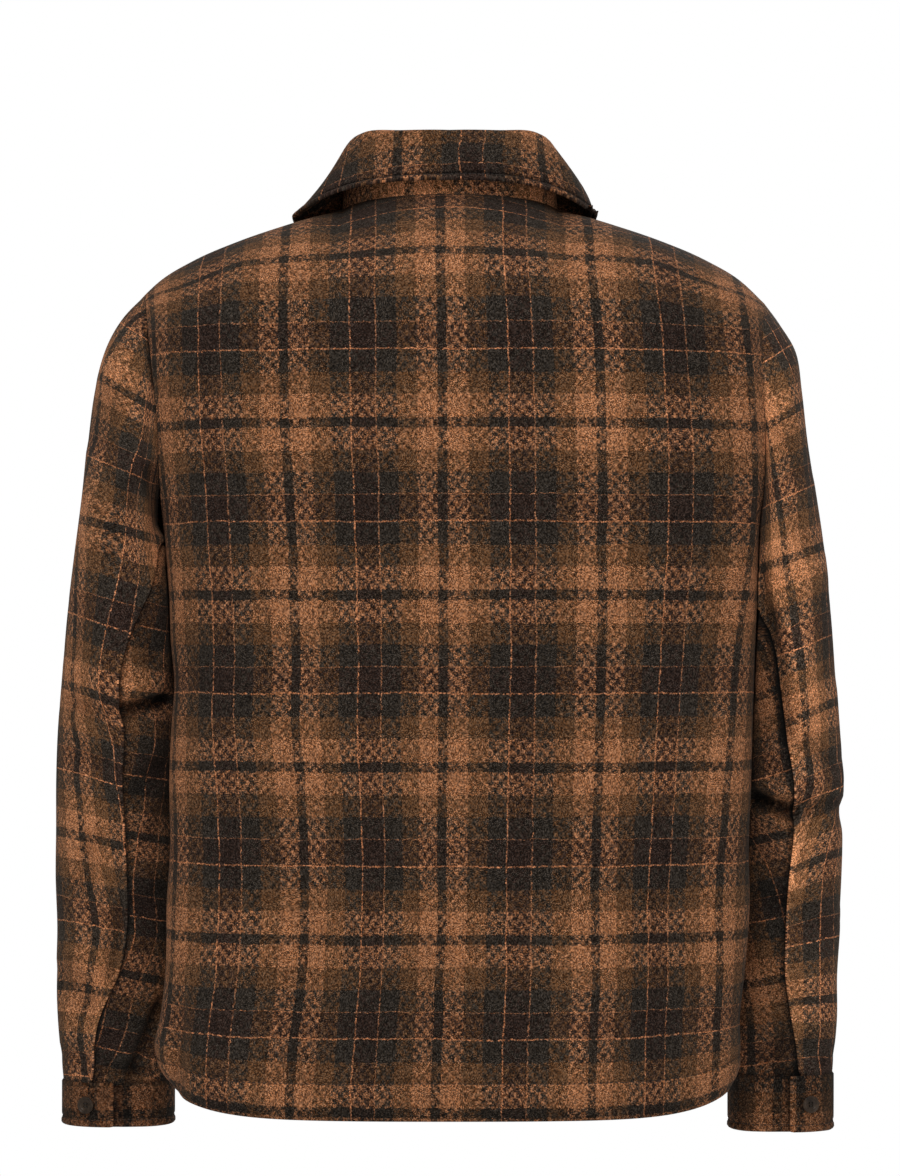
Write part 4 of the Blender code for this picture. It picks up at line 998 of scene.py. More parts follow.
def cuff_seat(side):
    """Where a cuff's button lies on the lapped end, and the way it faces."""
    cuff = CUFF[side]
    flip = np.array([SIGN[side], 1.0, 1.0])
    half_turn = math.degrees(0.5 * CUFF_BUTTON / WRIST_RADIUS)
    turns = cuff.button_deg + half_turn * np.array([-1.0, 0.0, 1.0])
    base = sleeve_section(side, len(SLEEVE) - 1, turns) * flip
    chord = base[2] - base[0]
    facing = np.array([chord[1], -chord[0], 0.0]) * flip[0]
    facing /= np.linalg.norm(facing)
    ring = along(make_cuff(side)[0], np.linspace(0.0, 1.0, BAND_SAMPLES * CUFF_COLUMNS))
    gap = np.linalg.norm((ring - base[1])[:, :2], axis=1)
    proud = np.max((ring - base[1])[gap < CUFF_BUTTON_SEAT] @ facing)
    place = base[1] + facing * (proud + SEAM_GAP)
    place[2] = 0.5 * (cuff.top + cuff.bottom)
    return place, facing


def stand_height(angle):
    """Height of the collar's fold over the neck seam, by turn from the centre back."""
    return float(read(COLLAR_RISE, "turn", "rise", abs(math.degrees(angle))))


def neck_turn(p):
    """Turn of a point of the neck from the centre back, in radians."""
    return math.atan2(p[0], (p[1] - NECK_MID_Y) / NECK_DEPTH * NECK_HALF)


def neck_away(p):
    """Level direction from the middle of the neck to a point."""
    away = (p - np.array([0.0, NECK_MID_Y, 0.0])) * [1.0, 1.0, 0.0]
    return away / np.linalg.norm(away)


def make_stand(neck):
    """Outer points of the collar stand, from the neck seam up."""
    grid = []
    for t in np.linspace(0.0, 1.0, STAND_ROWS + 1):
        row = neck.copy()
        for p, base in zip(row, neck):
            p += neck_away(base) * STAND_LEAN * t
            p[2] += t * (stand_height(neck_turn(base)) - FOLD_RISE)
        grid.append(row)
    return np.array(grid)


def fall_edge(turn):
    """Lower edge of the collar's fall by turn from the centre back, in radians."""
    side = 1.0 if turn >= 0 else -1.0
    reach = FALL_EDGE["left" if turn >= 0 else "right"]
    turn = abs(turn)
    if turn < math.pi / 2:
        s = math.sin(turn)
        return np.array([side * reach * s, FALL_SIDE_Y + (FALL_BACK_Y - FALL_SIDE_Y) * math.cos(turn),
                         FALL_BACK_Z + (FALL_SIDE_Z - FALL_BACK_Z) * s ** FALL_DROP])
    t = (turn - math.pi / 2) / (math.pi / 2)
    x = reach - (reach - COLLAR_POINT.x) * t ** COLLAR_RUN.x
    y = FALL_SIDE_Y - (FALL_SIDE_Y - COLLAR_POINT.y) * t ** COLLAR_RUN.y
    z = FALL_SIDE_Z - (FALL_SIDE_Z - COLLAR_POINT.z) * t ** COLLAR_RUN.z
    return np.array([side * x, y, z])


def make_fall(stand):
    """Outer points of the collar's fall, from its lower edge up over the fold."""
    columns = []
    for top in stand[-1]:
        turn = neck_turn(top)
        away = neck_away(top)
        joint = top + [0.0, 0.0, SEAM_GAP]
        crest = joint + away * FOLD_CREST + [0.0, 0.0, FOLD_RISE]
        brow = joint + away * FOLD_BROW[0] + [0.0, 0.0, FOLD_BROW[1]]
        edge = fall_edge(turn)
        side = "left" if turn >= 0 else "right"
        column = []
        near_edge = np.linspace(1.0, 1.0 - EDGE_SHARE, EDGE_ROWS, endpoint=False)
        for t in np.concatenate([near_edge, np.linspace(1.0 - EDGE_SHARE, 0.0, FALL_ROWS)]):
            swell = away * FALL_SWELL[side] * math.sin(math.pi * t)
            column.append(brow + (edge - brow) * t + swell)
        round_point = crest + away * FOLD_ROUND
        for t in BROW_STEPS:
            column.append(brow * (1 - t) ** 2 + 2 * t * (1 - t) * round_point + t * t * crest)
        for t in TUCK_STEPS:
            column.append(crest + (joint - crest) * t)
        columns.append(column)
    return np.array(columns).transpose(1, 0, 2)


def push_clear(points, samples, sample_normals, clear):
    """Move points out so that they lie clear of a panel below them."""
    moved = points.reshape(-1, 3).copy()
    flat = samples.reshape(-1, 3)
    ups = sample_normals.reshape(-1, 3)
    for p in moved:
        k = int(np.argmin(np.sum((flat - p) ** 2, axis=1)))
        if np.sum((flat[k] - p) ** 2) > FALL_REACH ** 2:
            continue
        gap = float(np.dot(p - flat[k], ups[k]))
        if gap < clear:
            p += ups[k] * (clear - gap)
    return moved.reshape(points.shape)


# Meshes

def rim_loop(rows, cols):
    """Grid places round the edge of a panel, in order, as rows and columns."""
    loop = [(0, c) for c in range(cols)]
    loop += [(r, cols - 1) for r in range(1, rows)]
    loop += [(rows - 1, c) for c in range(cols - 2, -1, -1)]
    loop += [(r, 0) for r in range(rows - 2, 0, -1)]
    return tuple(np.array(loop).T)


def unit(v):
    """Vectors scaled to length one."""
    return v / np.maximum(np.linalg.norm(v, axis=-1, keepdims=True), 1e-12)


def edge_outward(grid):
    """Direction out of the panel at every point of its edge."""
    out = np.zeros_like(grid)
    out[0] += unit(grid[0] - grid[1])
    out[-1] += unit(grid[-1] - grid[-2])
    out[:, 0] += unit(grid[:, 0] - grid[:, 1])
    out[:, -1] += unit(grid[:, -1] - grid[:, -2])
    return unit(out)


def place_object(name, data):
    """Put a new object into the scene, at the origin."""
    obj = bpy.data.objects.new(name, data)
    bpy.context.scene.collection.objects.link(obj)
    return obj


def add_piece(mesh, material, node=None):
    """Make a mesh a piece that rides on the garment, in the place of a node if one is given."""
    mesh.validate()
    mesh.update()
    mesh.shade_smooth()
    mesh.materials.append(material)
    obj = place_object(mesh.name, mesh)
    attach(obj, "root")
    if node:
        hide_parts(node)
    return obj


def panel_faces(rows, cols, rim):
    """Corners of a panel's outer face, its inner face and the rounded edge between them."""
    count = rows * cols
    index = np.arange(count).reshape(rows, cols)
    a, b = index[:-1, :-1].ravel(), index[:-1, 1:].ravel()
    d, e = index[1:, :-1].ravel(), index[1:, 1:].ravel()
    faces = [np.stack([a, b, e, d], axis=1), np.stack([a, d, e, b], axis=1) + count]
    edge = index[rim]
    rings = [2 * count + k * len(edge) + np.arange(len(edge)) for k in range(RIM_STEPS)]
    rings = [edge] + rings + [edge + count]
    for near, far in zip(rings[:-1], rings[1:]):
        faces.append(np.stack([np.roll(near, -1), near, far, np.roll(far, -1)], axis=1))
    return np.vstack(faces)


def shell(name, outer, thick, uv, material, node, painted_shading):
    """A panel of cloth: outer and inner face, joined round a softly rounded edge."""
    rim = rim_loop(*outer.shape[:2])
    inner = outer - thick * normals(outer)
    away = edge_outward(outer)
    points = [outer.reshape(-1, 3), inner.reshape(-1, 3)]
    for k in range(1, RIM_STEPS + 1):
        t = k / (RIM_STEPS + 1.0)
        bulge = 0.5 * thick * math.sin(math.pi * t)
        points.append(outer[rim] * (1 - t) + inner[rim] * t + away[rim] * bulge)
    points = np.vstack(points)
    coords = np.vstack([uv.reshape(-1, 2)] * 2 + [uv[rim]] * RIM_STEPS)
    # painted shade and painted highlight at every point, kept for the material
    painted_values = np.concatenate([painted_shading.ravel()] * 2 + [painted_shading[rim]] * RIM_STEPS)
    faces = panel_faces(*outer.shape[:2], rim)
    mesh = bpy.data.meshes.new(name)
    mesh.vertices.add(len(points))
    mesh.vertices.foreach_set("co", points.astype(np.float32).ravel())
    mesh.loops.add(faces.size)
    mesh.loops.foreach_set("vertex_index", faces.astype(np.int32).ravel())
    mesh.polygons.add(len(faces))
    mesh.polygons.foreach_set("loop_start", np.arange(0, faces.size, 4, dtype=np.int32))
    mesh.update(calc_edges=True)
    layer = mesh.uv_layers.new(name="cloth")
    layer.data.foreach_set("uv", coords[faces.ravel()].astype(np.float32).ravel())
    # point attribute that carries the painted shade and painted highlight
    painted_layer = mesh.attributes.new("painted_shading", "FLOAT", "POINT")
    painted_layer.data.foreach_set("value", painted_values.astype(np.float32))
    return add_piece(mesh, material, node)


# Flat places of the cloth, in metres of the weave across and up

def column_run(grid, start=0):
    """Length along every column from the given row."""
    steps = np.linalg.norm(np.diff(grid, axis=0), axis=2)
    run = np.vstack([np.zeros(grid.shape[1]), np.cumsum(steps, axis=0)])
    return run - run[start]


def row_run(grid, start, flat=False):
    """Length along every row from the given column. Flat counts a slanted step as its longer leg."""
    step = np.diff(grid, axis=1)
    if flat:
        steps = np.maximum(np.abs(step[:, :, 0]), np.abs(step[:, :, 1]))
    else:
        steps = np.linalg.norm(step, axis=2)
    run = np.hstack([np.zeros((grid.shape[0], 1)), np.cumsum(steps, axis=1)])
    return run - run[:, start][:, None]


def crossing(gap, run):
    """Run at which a falling gap passes zero, carried on past either end."""
    if gap[0] < 0.0:
        return run[0] + gap[0]
    if gap[-1] > 0.0:
        return run[-1] + gap[-1]
    return float(np.interp(0.0, -gap, run))


def body_height(grid):
    """Weave places up the back or a front."""
    level = len(LEVELS)
    v = np.zeros(grid.shape[:2])
    v[:level] = LEVELS[:, None]
    outer = smooth((np.abs(grid[level - 1, :, 0]) - SHOULDER_END) / SHOULDER_BLEND)
    run = column_run(grid, level - 1)[level:]
    v[level:] = LEAN_Z + np.interp(run, *SHOULDER_WEFT) * (1.0 + SHOULDER_SPREAD * outer)
    return v


def back_uv(grid):
    """Weave places of the back, held to its dark warp lines."""
    x, z = grid[:, :, 0], grid[:, :, 2]
    lines = [read(WARP_LINES, "z", name, z) for name in "bcde"]
    run = row_run(grid, 0)
    u = np.zeros_like(x)
    for k, (near, far) in enumerate(zip(lines[:-1], lines[1:])):
        share = (near - x) / (near - far)
        inside = (share >= 0.0) & (share < 1.0)
        u[inside] = (CHECK_ORIGIN[0] + WARP_REPEAT * (1.0 - k - share))[inside]
    for r in range(len(grid)):
        first = crossing(x[r] - lines[0][r], run[r])
        last = crossing(x[r] - lines[-1][r], run[r])
        beyond = x[r] > lines[0][r]
        u[r, beyond] = CHECK_ORIGIN[0] + WARP_REPEAT + first - run[r, beyond]
        beyond = x[r] <= lines[-1][r]
        u[r, beyond] = CHECK_ORIGIN[0] - 2 * WARP_REPEAT + last - run[r, beyond]
    return np.stack([u, body_height(grid)], axis=2)


def front_uv(grid):
    """Weave places of a front, counted from the centre line."""
    middle = int(np.argmin(np.abs(grid[len(LEVELS) // 2, :, 0])))
    u = row_run(grid, middle, flat=True) + grid[:, middle, 0][:, None]
    return np.stack([u, body_height(grid)], axis=2)


def collar_uv(grid, place):
    """Weave places of a collar piece, counted from its centre back."""
    return np.stack([place[0] - row_run(grid, grid.shape[1] // 2), place[1] + column_run(grid)], axis=2)


def as_seen(grid):
    """How far out and how high points look from the camera."""
    scale = VIEW_DISTANCE / (VIEW_DISTANCE - grid[:, :, 1])
    return np.abs(grid[:, :, 0]) * scale, VIEW_Z + (grid[:, :, 2] - VIEW_Z) * scale


def sleeve_uv(grid, name, side):
    """Weave places of a sleeve piece, held to the lines of the tables."""
    if side == "right":
        grid = grid[:, ::-1]
    x, z = as_seen(grid)
    run = row_run(grid, 0)
    marks = SLEEVE_WARP[name, side]
    first_u, second_u = CHECK_ORIGIN[0], None
    if marks[0].second is not None:
        second_u = first_u - (BRIGHT_AT if side == "left" else GREEN_AT)
        second_x = read(marks, "z", "second", z)
    elif side == "left":
        first_u -= BRIGHT_AT
    first_x = read(marks, "z", "first", z)
    u = np.zeros_like(x)
    for r in range(len(grid)):
        seen = slice(int(np.argmax(x[r])), None)
        if name == "under":
            seen = slice(0, int(np.argmin(x[r])) + 1)
        first = crossing(x[r, seen] - first_x[r, seen], run[r, seen])
        u[r] = first_u - SIGN[side] * (run[r] - first)
        if second_u is None:
            continue
        second = crossing(x[r, seen] - second_x[r, seen], run[r, seen])
        share = (run[r] - first) / (second - first)
        u[r] = np.where(share > 0.0, first_u + share * (second_u - first_u), u[r])
        u[r] = np.where(share > 1.0, second_u - SIGN[side] * (run[r] - second), u[r])
    out_share = (x - LEVEL_IN) / (LEVEL_OUT - LEVEL_IN)
    levels = [row.inner + (row.out - row.inner) * out_share for row in SLEEVE_WEFT[name, side]]
    v = CHECK_ORIGIN[1] + (z - levels[0]) * SLEEVE_SLANT
    for k in range(len(levels) - 1):
        share = (levels[k] - z) / (levels[k] - levels[k + 1])
        v = np.where(share > 0.0, CHECK_ORIGIN[1] - WEFT_REPEAT * (k + share), v)
    uv = np.stack([u, v], axis=2)
    return uv[:, ::-1] if side == "right" else uv


# Relief of the visible cloth, and the shade and highlight painted on it

def sunk(grid, folds, facing):
    """Depth of the creases on the side of a panel that faces the given way, +1 for the back."""
    x, z = as_seen(grid)
    if min(fold.x_a for fold in folds) < 0.0:
        x = x * np.sign(grid[:, :, 0])
    turned = smooth(normals(grid)[:, :, 1] * facing * FACING_RATE + FACING_START)
    depth = sum(fold.depth * line_weight(x, z, *fold[:4], fold.width) for fold in folds)
    return depth * turned


def press(grid, depth):
    """Press the given depth into a panel."""
    return grid - depth[:, :, None] * normals(grid)


def crease_shading(depth):
    """Painted shade in a crease, from its depth; a ridge gets a painted highlight."""
    return np.clip(depth * CREASE_PAINTED_SHADE, *PAINTED_SHADE_LIMITS)


def edge_distance(grid, edge):
    """Length from every point of a panel to one of its edges, along the cloth."""
    if edge in ("start", "end"):
        return np.abs(row_run(grid, 0 if edge == "start" else -1))
    return np.abs(column_run(grid, 0 if edge == "bottom" else -1))


def beside(grid, edge, reach, amount):
    """An amount that fades away from one edge of a panel, and over the shoulders."""
    near = np.exp(-(edge_distance(grid, edge) / reach) ** 2)
    return amount * near * smooth((STEP_TOP - grid[:, :, 2]) / STEP_FADE)


def step_edge(grid, edge, lift):
    """Raise a panel softly along one of its edges, or sink it."""
    return press(grid, -beside(grid, edge, EDGE_REACH, lift))


def stitched_turning(grid, width, proud):
    """Raise a panel's turned lower edge a little and draw in the stitches that hold it."""
    away = edge_distance(grid, "bottom")
    groove = GROOVE * np.exp(-((away - width) / GROOVE_HALF) ** 2)
    return press(grid, groove - proud * smooth((width - away) / TURNING_SLOPE))


def lap_shading(band, side):
    """Painted shade on a cuff beside the end that lies over it, and a painted highlight on that end's
    fold.
    """
    over = -1 if side == "left" else 0
    gap = np.linalg.norm(band - band[:, over][:, None], axis=2)
    turn = np.arange(band.shape[1])[::int(SIGN[side])]
    below = (turn < band.shape[1] // 2)[None, :]
    shade, fold = [amount * np.exp(-(gap / reach) ** 2) for reach, amount in (LAP_SHADE, LAP_HIGHLIGHT)]
    return np.where(below, shade, fold)


# Materials

def feed(tree, node, inputs):
    """Give a node's inputs, by name or place, a value or another node's output."""
    for name, value in inputs.items():
        if isinstance(value, bpy.types.NodeSocket):
            tree.links.new(value, node.inputs[name])
        elif value is not None:
            node.inputs[name].default_value = value


def add_node(tree, kind, inputs, **settings):
    """A node with its settings and its inputs; gives its outputs."""
    node = tree.nodes.new(kind)
    for name, value in settings.items():
        setattr(node, name, value)
    feed(tree, node, inputs)
    return node.outputs


def new_material(name):
    """An empty material, its node tree and its shader."""
    mat = bpy.data.materials.new(name)
    mat.use_nodes = True
    tree = mat.node_tree
    tree.nodes.clear()
    shader = tree.nodes.new("ShaderNodeBsdfPrincipled")
    add_node(tree, "ShaderNodeOutputMaterial", {0: shader.outputs[0]})
    return mat, tree, shader


def math_node(tree, kind, *values):
    """A Math node; each value is a number or a socket."""
    return add_node(tree, "ShaderNodeMath", dict(enumerate(values)), operation=kind)[0]


def vector_node(tree, kind, *values):
    """A Vector Math node; each value is a triple or a socket, and the fourth is the scale."""
    return add_node(tree, "ShaderNodeVectorMath", dict(enumerate(values)), operation=kind)[0]


def noise_node(tree, vector, scale, detail=2.0, rough=0.5):
    """A noise texture on the given vector."""
    return add_node(tree, "ShaderNodeTexNoise",
                    {"Scale": scale, "Detail": detail, "Roughness": rough, "Vector": vector})


def mix_colour(tree, share, a, b):
    """A Mix node for colours."""
    return add_node(tree, "ShaderNodeMix", {0: share, 6: a, 7: b}, data_type="RGBA")[2]


def mapped(tree, value, low, high, to_low, to_high):
    """A Map Range node."""
    return add_node(tree, "ShaderNodeMapRange",
                    {"Value": value, "From Min": low, "From Max": high,
                     "To Min": to_low, "To Max": to_high})[0]


def bumped(tree, shader, height, strength, distance):
    """Fine relief on a shader."""
    bump = add_node(tree, "ShaderNodeBump",
                    {"Strength": strength, "Distance": distance, "Height": height})
    tree.links.new(bump[0], shader.inputs["Normal"])


def stripe_ramp(tree, place, origin, stripes):
    """Yarn colours along one direction, repeating, with a dark line centred on origin."""
    total = sum(stripe.width for stripe in stripes)
    back = math_node(tree, "SUBTRACT", origin + 0.5 * stripes[0].width, place)
    node = tree.nodes.new("ShaderNodeValToRGB")
    node.color_ramp.interpolation = "CONSTANT"
    stops = node.color_ramp.elements
    start = 0.0
    for k, stripe in enumerate(stripes):
        stop = stops[k] if k < 2 else stops.new(start / total)
        stop.position = start / total
        stop.color = YARNS[stripe.yarn]
        start += stripe.width
    feed(tree, node, {"Fac": math_node(tree, "FRACT", math_node(tree, "DIVIDE", back, total))})
    return node.outputs["Color"], node.outputs["Alpha"]


def cells(tree, vector, across, up, place=(0.0, 0.0)):
    """A random value for every small cell of the cloth, so many to a metre each way."""
    stretched = add_node(tree, "ShaderNodeMapping",
                         {"Scale": (across, up, 1.0), "Location": place + (0.0,), "Vector": vector})
    whole = vector_node(tree, "FLOOR", stretched[0])
    return add_node(tree, "ShaderNodeTexWhiteNoise", {"Vector": whole},
                    noise_dimensions="2D")["Value"]


def shifted(tree, place, where, scale, reach):
    """Places moved about by a noise, up to half the reach each way."""
    noise = noise_node(tree, where, scale)["Color"]
    less = vector_node(tree, "SUBTRACT", noise, (0.5, 0.5, 0.5))
    return vector_node(tree, "MULTIPLY_ADD", less, (reach, reach, 0.0), place)


def basket(tree, place):
    """Small squares in which warp and weft take turns on top."""
    parts = add_node(tree, "ShaderNodeSeparateXYZ", {0: place})
    waves = []
    for socket, period in zip(parts, BASKET):
        turn = math_node(tree, "MULTIPLY", socket, 2 * math.pi / period)
        waves.append(math_node(tree, "SINE", turn))
    both = math_node(tree, "MULTIPLY", *waves)
    return math_node(tree, "MULTIPLY", both, BASKET_MIX)


def woven_check(tree, place):
    """Colour of the check at a place, and how far the weft lies over the warp there."""
    moved = shifted(tree, shifted(tree, place, place, *SWAY), place, *FRAY)
    parts = add_node(tree, "ShaderNodeSeparateXYZ", {0: moved})
    tooth_u = math_node(tree, "SUBTRACT", cells(tree, place, *TOOTH_CELLS), 0.5)
    tooth_v = math_node(tree, "SUBTRACT", cells(tree, place, *TOOTH_CELLS[::-1], (9.0, 5.0)), 0.5)
    across = math_node(tree, "MULTIPLY_ADD", tooth_u, TEETH, parts[0])
    up = math_node(tree, "MULTIPLY_ADD", tooth_v, TEETH, parts[1])
    warp, _ = stripe_ramp(tree, across, CHECK_ORIGIN[0], WARP)
    weft, _ = stripe_ramp(tree, up, CHECK_ORIGIN[1], WEFT)
    tall = cells(tree, place, *FLOATS)
    wide = cells(tree, place, *FLOATS[::-1], (31.0, 17.0))
    lead = math_node(tree, "SUBTRACT", wide, tall)
    over = math_node(tree, "ADD", math_node(tree, "MULTIPLY_ADD", lead, FLOAT_MIX, 0.5),
                     basket(tree, moved))
    yarn = mix_colour(tree, over, warp, weft)
    for way, stripes, dips, apart in ((0, WARP, DASH_CELLS, (5.0, 3.0)),
                                      (1, WEFT, DASH_CELLS[::-1], (8.0, 2.0))):
        line, thin = stripe_ramp(tree, parts[way], CHECK_ORIGIN[way], stripes)
        shows = mapped(tree, cells(tree, place, *dips, apart), *DASH)
        yarn = mix_colour(tree, math_node(tree, "MULTIPLY", thin, shows), yarn, line)
    return yarn, over


def brushed(tree, place, yarn, tone):
    """The yarns' colour under the brushed nap, scaled by the piece's tone less its painted shade and
    highlight, and the nap's own pattern.
    """
    nap = cells(tree, place, NAP, NAP, (3.0, 57.0))
    cloud = noise_node(tree, place, *CLOUD)["Fac"]
    light = math_node(tree, "MULTIPLY_ADD", nap, NAP_DEPTH, 1.0 - 0.5 * NAP_DEPTH)
    cloudy = mapped(tree, cloud, 0.30, 0.70, 1.0 - CLOUD_DEPTH, 1.0 + CLOUD_DEPTH)
    # painted shade and painted highlight, read from the mesh
    painted_shading = add_node(tree, "ShaderNodeAttribute", {}, attribute_name="painted_shading")["Fac"]
    tone_after_shading = math_node(tree, "SUBTRACT", tone, painted_shading)
    bright = math_node(tree, "MULTIPLY", math_node(tree, "MULTIPLY", light, cloudy), tone_after_shading)
    shaded = vector_node(tree, "SCALE", yarn, None, None, bright)
    grey = mapped(tree, cells(tree, place, NAP, NAP, (71.0, 13.0)), 0.0, 1.0, -0.5, 0.5)
    fibre = vector_node(tree, "MULTIPLY_ADD", grey, (GREY_FIBRES,) * 3, shaded)
    kept = vector_node(tree, "MAXIMUM", fibre, (DARKEST,) * 3)
    return add_node(tree, "ShaderNodeGamma", {"Gamma": DISPLAY_GAMMA, "Color": kept})[0], nap


def cloth_material(name, tone):
    """Brushed wool with its check woven in; tone scales a whole piece's brightness as painted light and
    shade.
    """
    mat, tree, shader = new_material(name)
    place = add_node(tree, "ShaderNodeUVMap", {}, uv_map="cloth")["UV"]
    yarn, over = woven_check(tree, place)
    colour, nap = brushed(tree, place, yarn, tone)
    bumped(tree, shader, math_node(tree, "MULTIPLY_ADD", nap, 0.6, over), 0.35, 0.0004)
    feed(tree, shader, {
        "Base Color": colour, "Roughness": 0.95, "Specular IOR Level": 0.12, "Sheen Weight": 0.05,
        "Sheen Roughness": 0.6, "Sheen Tint": (0.75, 0.58, 0.45, 1.0)})
    return mat


def horn_material(name):
    """Dark mottled button resin, its gloss varied by fine scratches."""
    mat, tree, shader = new_material(name)
    where = tree.nodes.new("ShaderNodeTexCoord").outputs["Object"]
    cloud = noise_node(tree, where, 190.0, 4.0, 0.6)["Fac"]
    tint = mapped(tree, cloud, 0.35, 0.65, 0.0, 1.0)
    scratch = noise_node(tree, where, 2200.0, 2.0, 0.6)["Fac"]
    feed(tree, shader, {
        "Base Color": mix_colour(tree, tint, *HORN_COLOURS),
        "Roughness": mapped(tree, scratch, 0.3, 0.7, 0.26, 0.42), "Specular IOR Level": 0.20})
    bumped(tree, shader, scratch, 0.15, 0.0002)
    return mat


def thread_material(name, colour):
    """Spun sewing thread."""
    mat, tree, shader = new_material(name)
    where = tree.nodes.new("ShaderNodeTexCoord").outputs["Object"]
    tone = mapped(tree, noise_node(tree, where, 2600.0)["Fac"], 0.3, 0.7, 0.6, 1.4)
    feed(tree, shader, {
        "Base Color": vector_node(tree, "SCALE", colour, None, None, tone), "Roughness": 0.8})
    return mat


# Buttons

def button_points(size):
    """Points and faces of a four-holed button lying on its back."""
    r = 0.5 * size
    n = BUTTON_SIDES
    dish = [(out, BUTTON_TOP) for out in np.linspace(0.0, BUTTON_DISH, DISH_STEPS)[1:]]
    rings = dish + list(BUTTON_RINGS)
    hole = BUTTON_HOLE_OUT / math.sqrt(2)
    points = [(0.0, 0.0, r * BUTTON_TOP)]
    for out, up in rings:
        for k in range(n):
            turn = 2 * math.pi * k / n
            x, y = out * math.cos(turn), out * math.sin(turn)
            if out <= BUTTON_DISH:
                near = min(math.hypot(abs(x) - hole, abs(y) - hole), 1.0)
                drop = HOLE_DROP * float(smooth((BUTTON_HOLE * 1.3 - near) / (BUTTON_HOLE * 0.6)))
            else:
                drop = 0.0
            points.append((r * x, r * y, r * (up - drop)))
    points.append((0.0, 0.0, 0.0))
    last = len(points) - 1
    base = 1 + (len(rings) - 1) * n
    faces = [(0, 1 + k, 1 + (k + 1) % n) for k in range(n)]
    for start in range(1, base, n):
        for k in range(n):
            a, b = start + k, start + (k + 1) % n
            faces.append((a, a + n, b + n, b))
    faces += [(base + k, last, base + (k + 1) % n) for k in range(n)]
    return points, faces


def tube(path, sides=6):
    """Points and faces of a thread along a short path, closed at both ends."""
    path = np.asarray(path, float)
    points, faces = [], []
    for p, t in zip(path, unit(np.gradient(path, axis=0))):
        side = unit(np.cross(t, THREAD_ACROSS))
        other = np.cross(t, side)
        for k in range(sides):
            turn = 2 * math.pi * k / sides
            points.append(p + THREAD_RADIUS * (side * math.cos(turn) + other * math.sin(turn)))
    for ring in range(len(path) - 1):
        for k in range(sides):
            a, b = ring * sides + k, ring * sides + (k + 1) % sides
            faces.append((a, b, b + sides, a + sides))
    faces.append(tuple(range(sides))[::-1])
    faces.append(tuple(range((len(path) - 1) * sides, len(path) * sides)))
    return points, faces


def fitted_piece(name, points, faces, place, facing, material, node=None):
    """Something made lying flat, laid on the cloth at a place."""
    turn = Vector(facing).to_track_quat("Z", "Y")
    mesh = bpy.data.meshes.new(name)
    mesh.from_pydata([tuple(turn @ Vector(p) + Vector(place)) for p in points], [], faces)
    add_piece(mesh, material, node)


def sewn_button(name, node, size, place, facing):
    """A button at its place, with the two bars of thread that hold it."""
    seat = Vector(place) + Vector(facing) * SEAM_GAP
    fitted_piece(name, *button_points(size), seat, facing, horn, node)
    reach = 0.5 * size * BUTTON_HOLE_OUT / math.sqrt(2)
    top = 0.5 * size * BUTTON_TOP
    threads, sides = [], []
    for y in (-reach, reach):
        path = [(reach * t, y, BAR_ARCH * (1.0 - t * t) + top - BAR_TUCK * t ** 6)
                for t in np.linspace(-1.0, 1.0, 9)]
        more, loops = tube(path)
        sides += [tuple(k + len(threads) for k in loop) for loop in loops]
        threads += more
    fitted_piece(name + "_thread", threads, sides, seat, facing, dark_thread)


# Stitches

def stitch_tree():
    """Geometry nodes that lay a row of short stitches along a path."""
    tree = bpy.data.node_groups.new("stitch_row", "GeometryNodeTree")
    kinds = {"Geometry": "Geometry", "Spacing": "Float", "Thread Radius": "Float",
             "Stitch Length": "Float", "Material": "Material"}
    for name, kind in kinds.items():
        tree.interface.new_socket(name, in_out="INPUT", socket_type="NodeSocket" + kind)
    tree.interface.new_socket("Geometry", in_out="OUTPUT", socket_type="NodeSocketGeometry")
    given = tree.nodes.new("NodeGroupInput").outputs
    path = add_node(tree, "GeometryNodeMeshToCurve", {"Mesh": given["Geometry"]})
    even = add_node(tree, "GeometryNodeResampleCurve",
                    {"Curve": path["Curve"], "Length": given["Spacing"]}, mode="LENGTH")
    ball = add_node(tree, "GeometryNodeMeshUVSphere", {"Segments": 6, "Rings": 5, "Radius": 1.0})
    half = math_node(tree, "MULTIPLY", given["Stitch Length"], 0.5)
    size = add_node(tree, "ShaderNodeCombineXYZ",
                    {0: given["Thread Radius"], 1: given["Thread Radius"], 2: half})
    stitch = add_node(tree, "GeometryNodeTransform", {"Geometry": ball["Mesh"], "Scale": size[0]})
    tangent = tree.nodes.new("GeometryNodeInputTangent").outputs[0]
    turn = add_node(tree, "FunctionNodeAlignRotationToVector", {"Vector": tangent}, axis="Z")
    laid = add_node(tree, "GeometryNodeInstanceOnPoints",
                    {"Points": even["Curve"], "Instance": stitch["Geometry"],
                     "Rotation": turn["Rotation"]})
    real = add_node(tree, "GeometryNodeRealizeInstances", {"Geometry": laid["Instances"]})
    paint = add_node(tree, "GeometryNodeSetMaterial",
                     {"Geometry": real["Geometry"], "Material": given["Material"]})
    add_node(tree, "NodeGroupOutput", {"Geometry": paint["Geometry"]})
    return tree


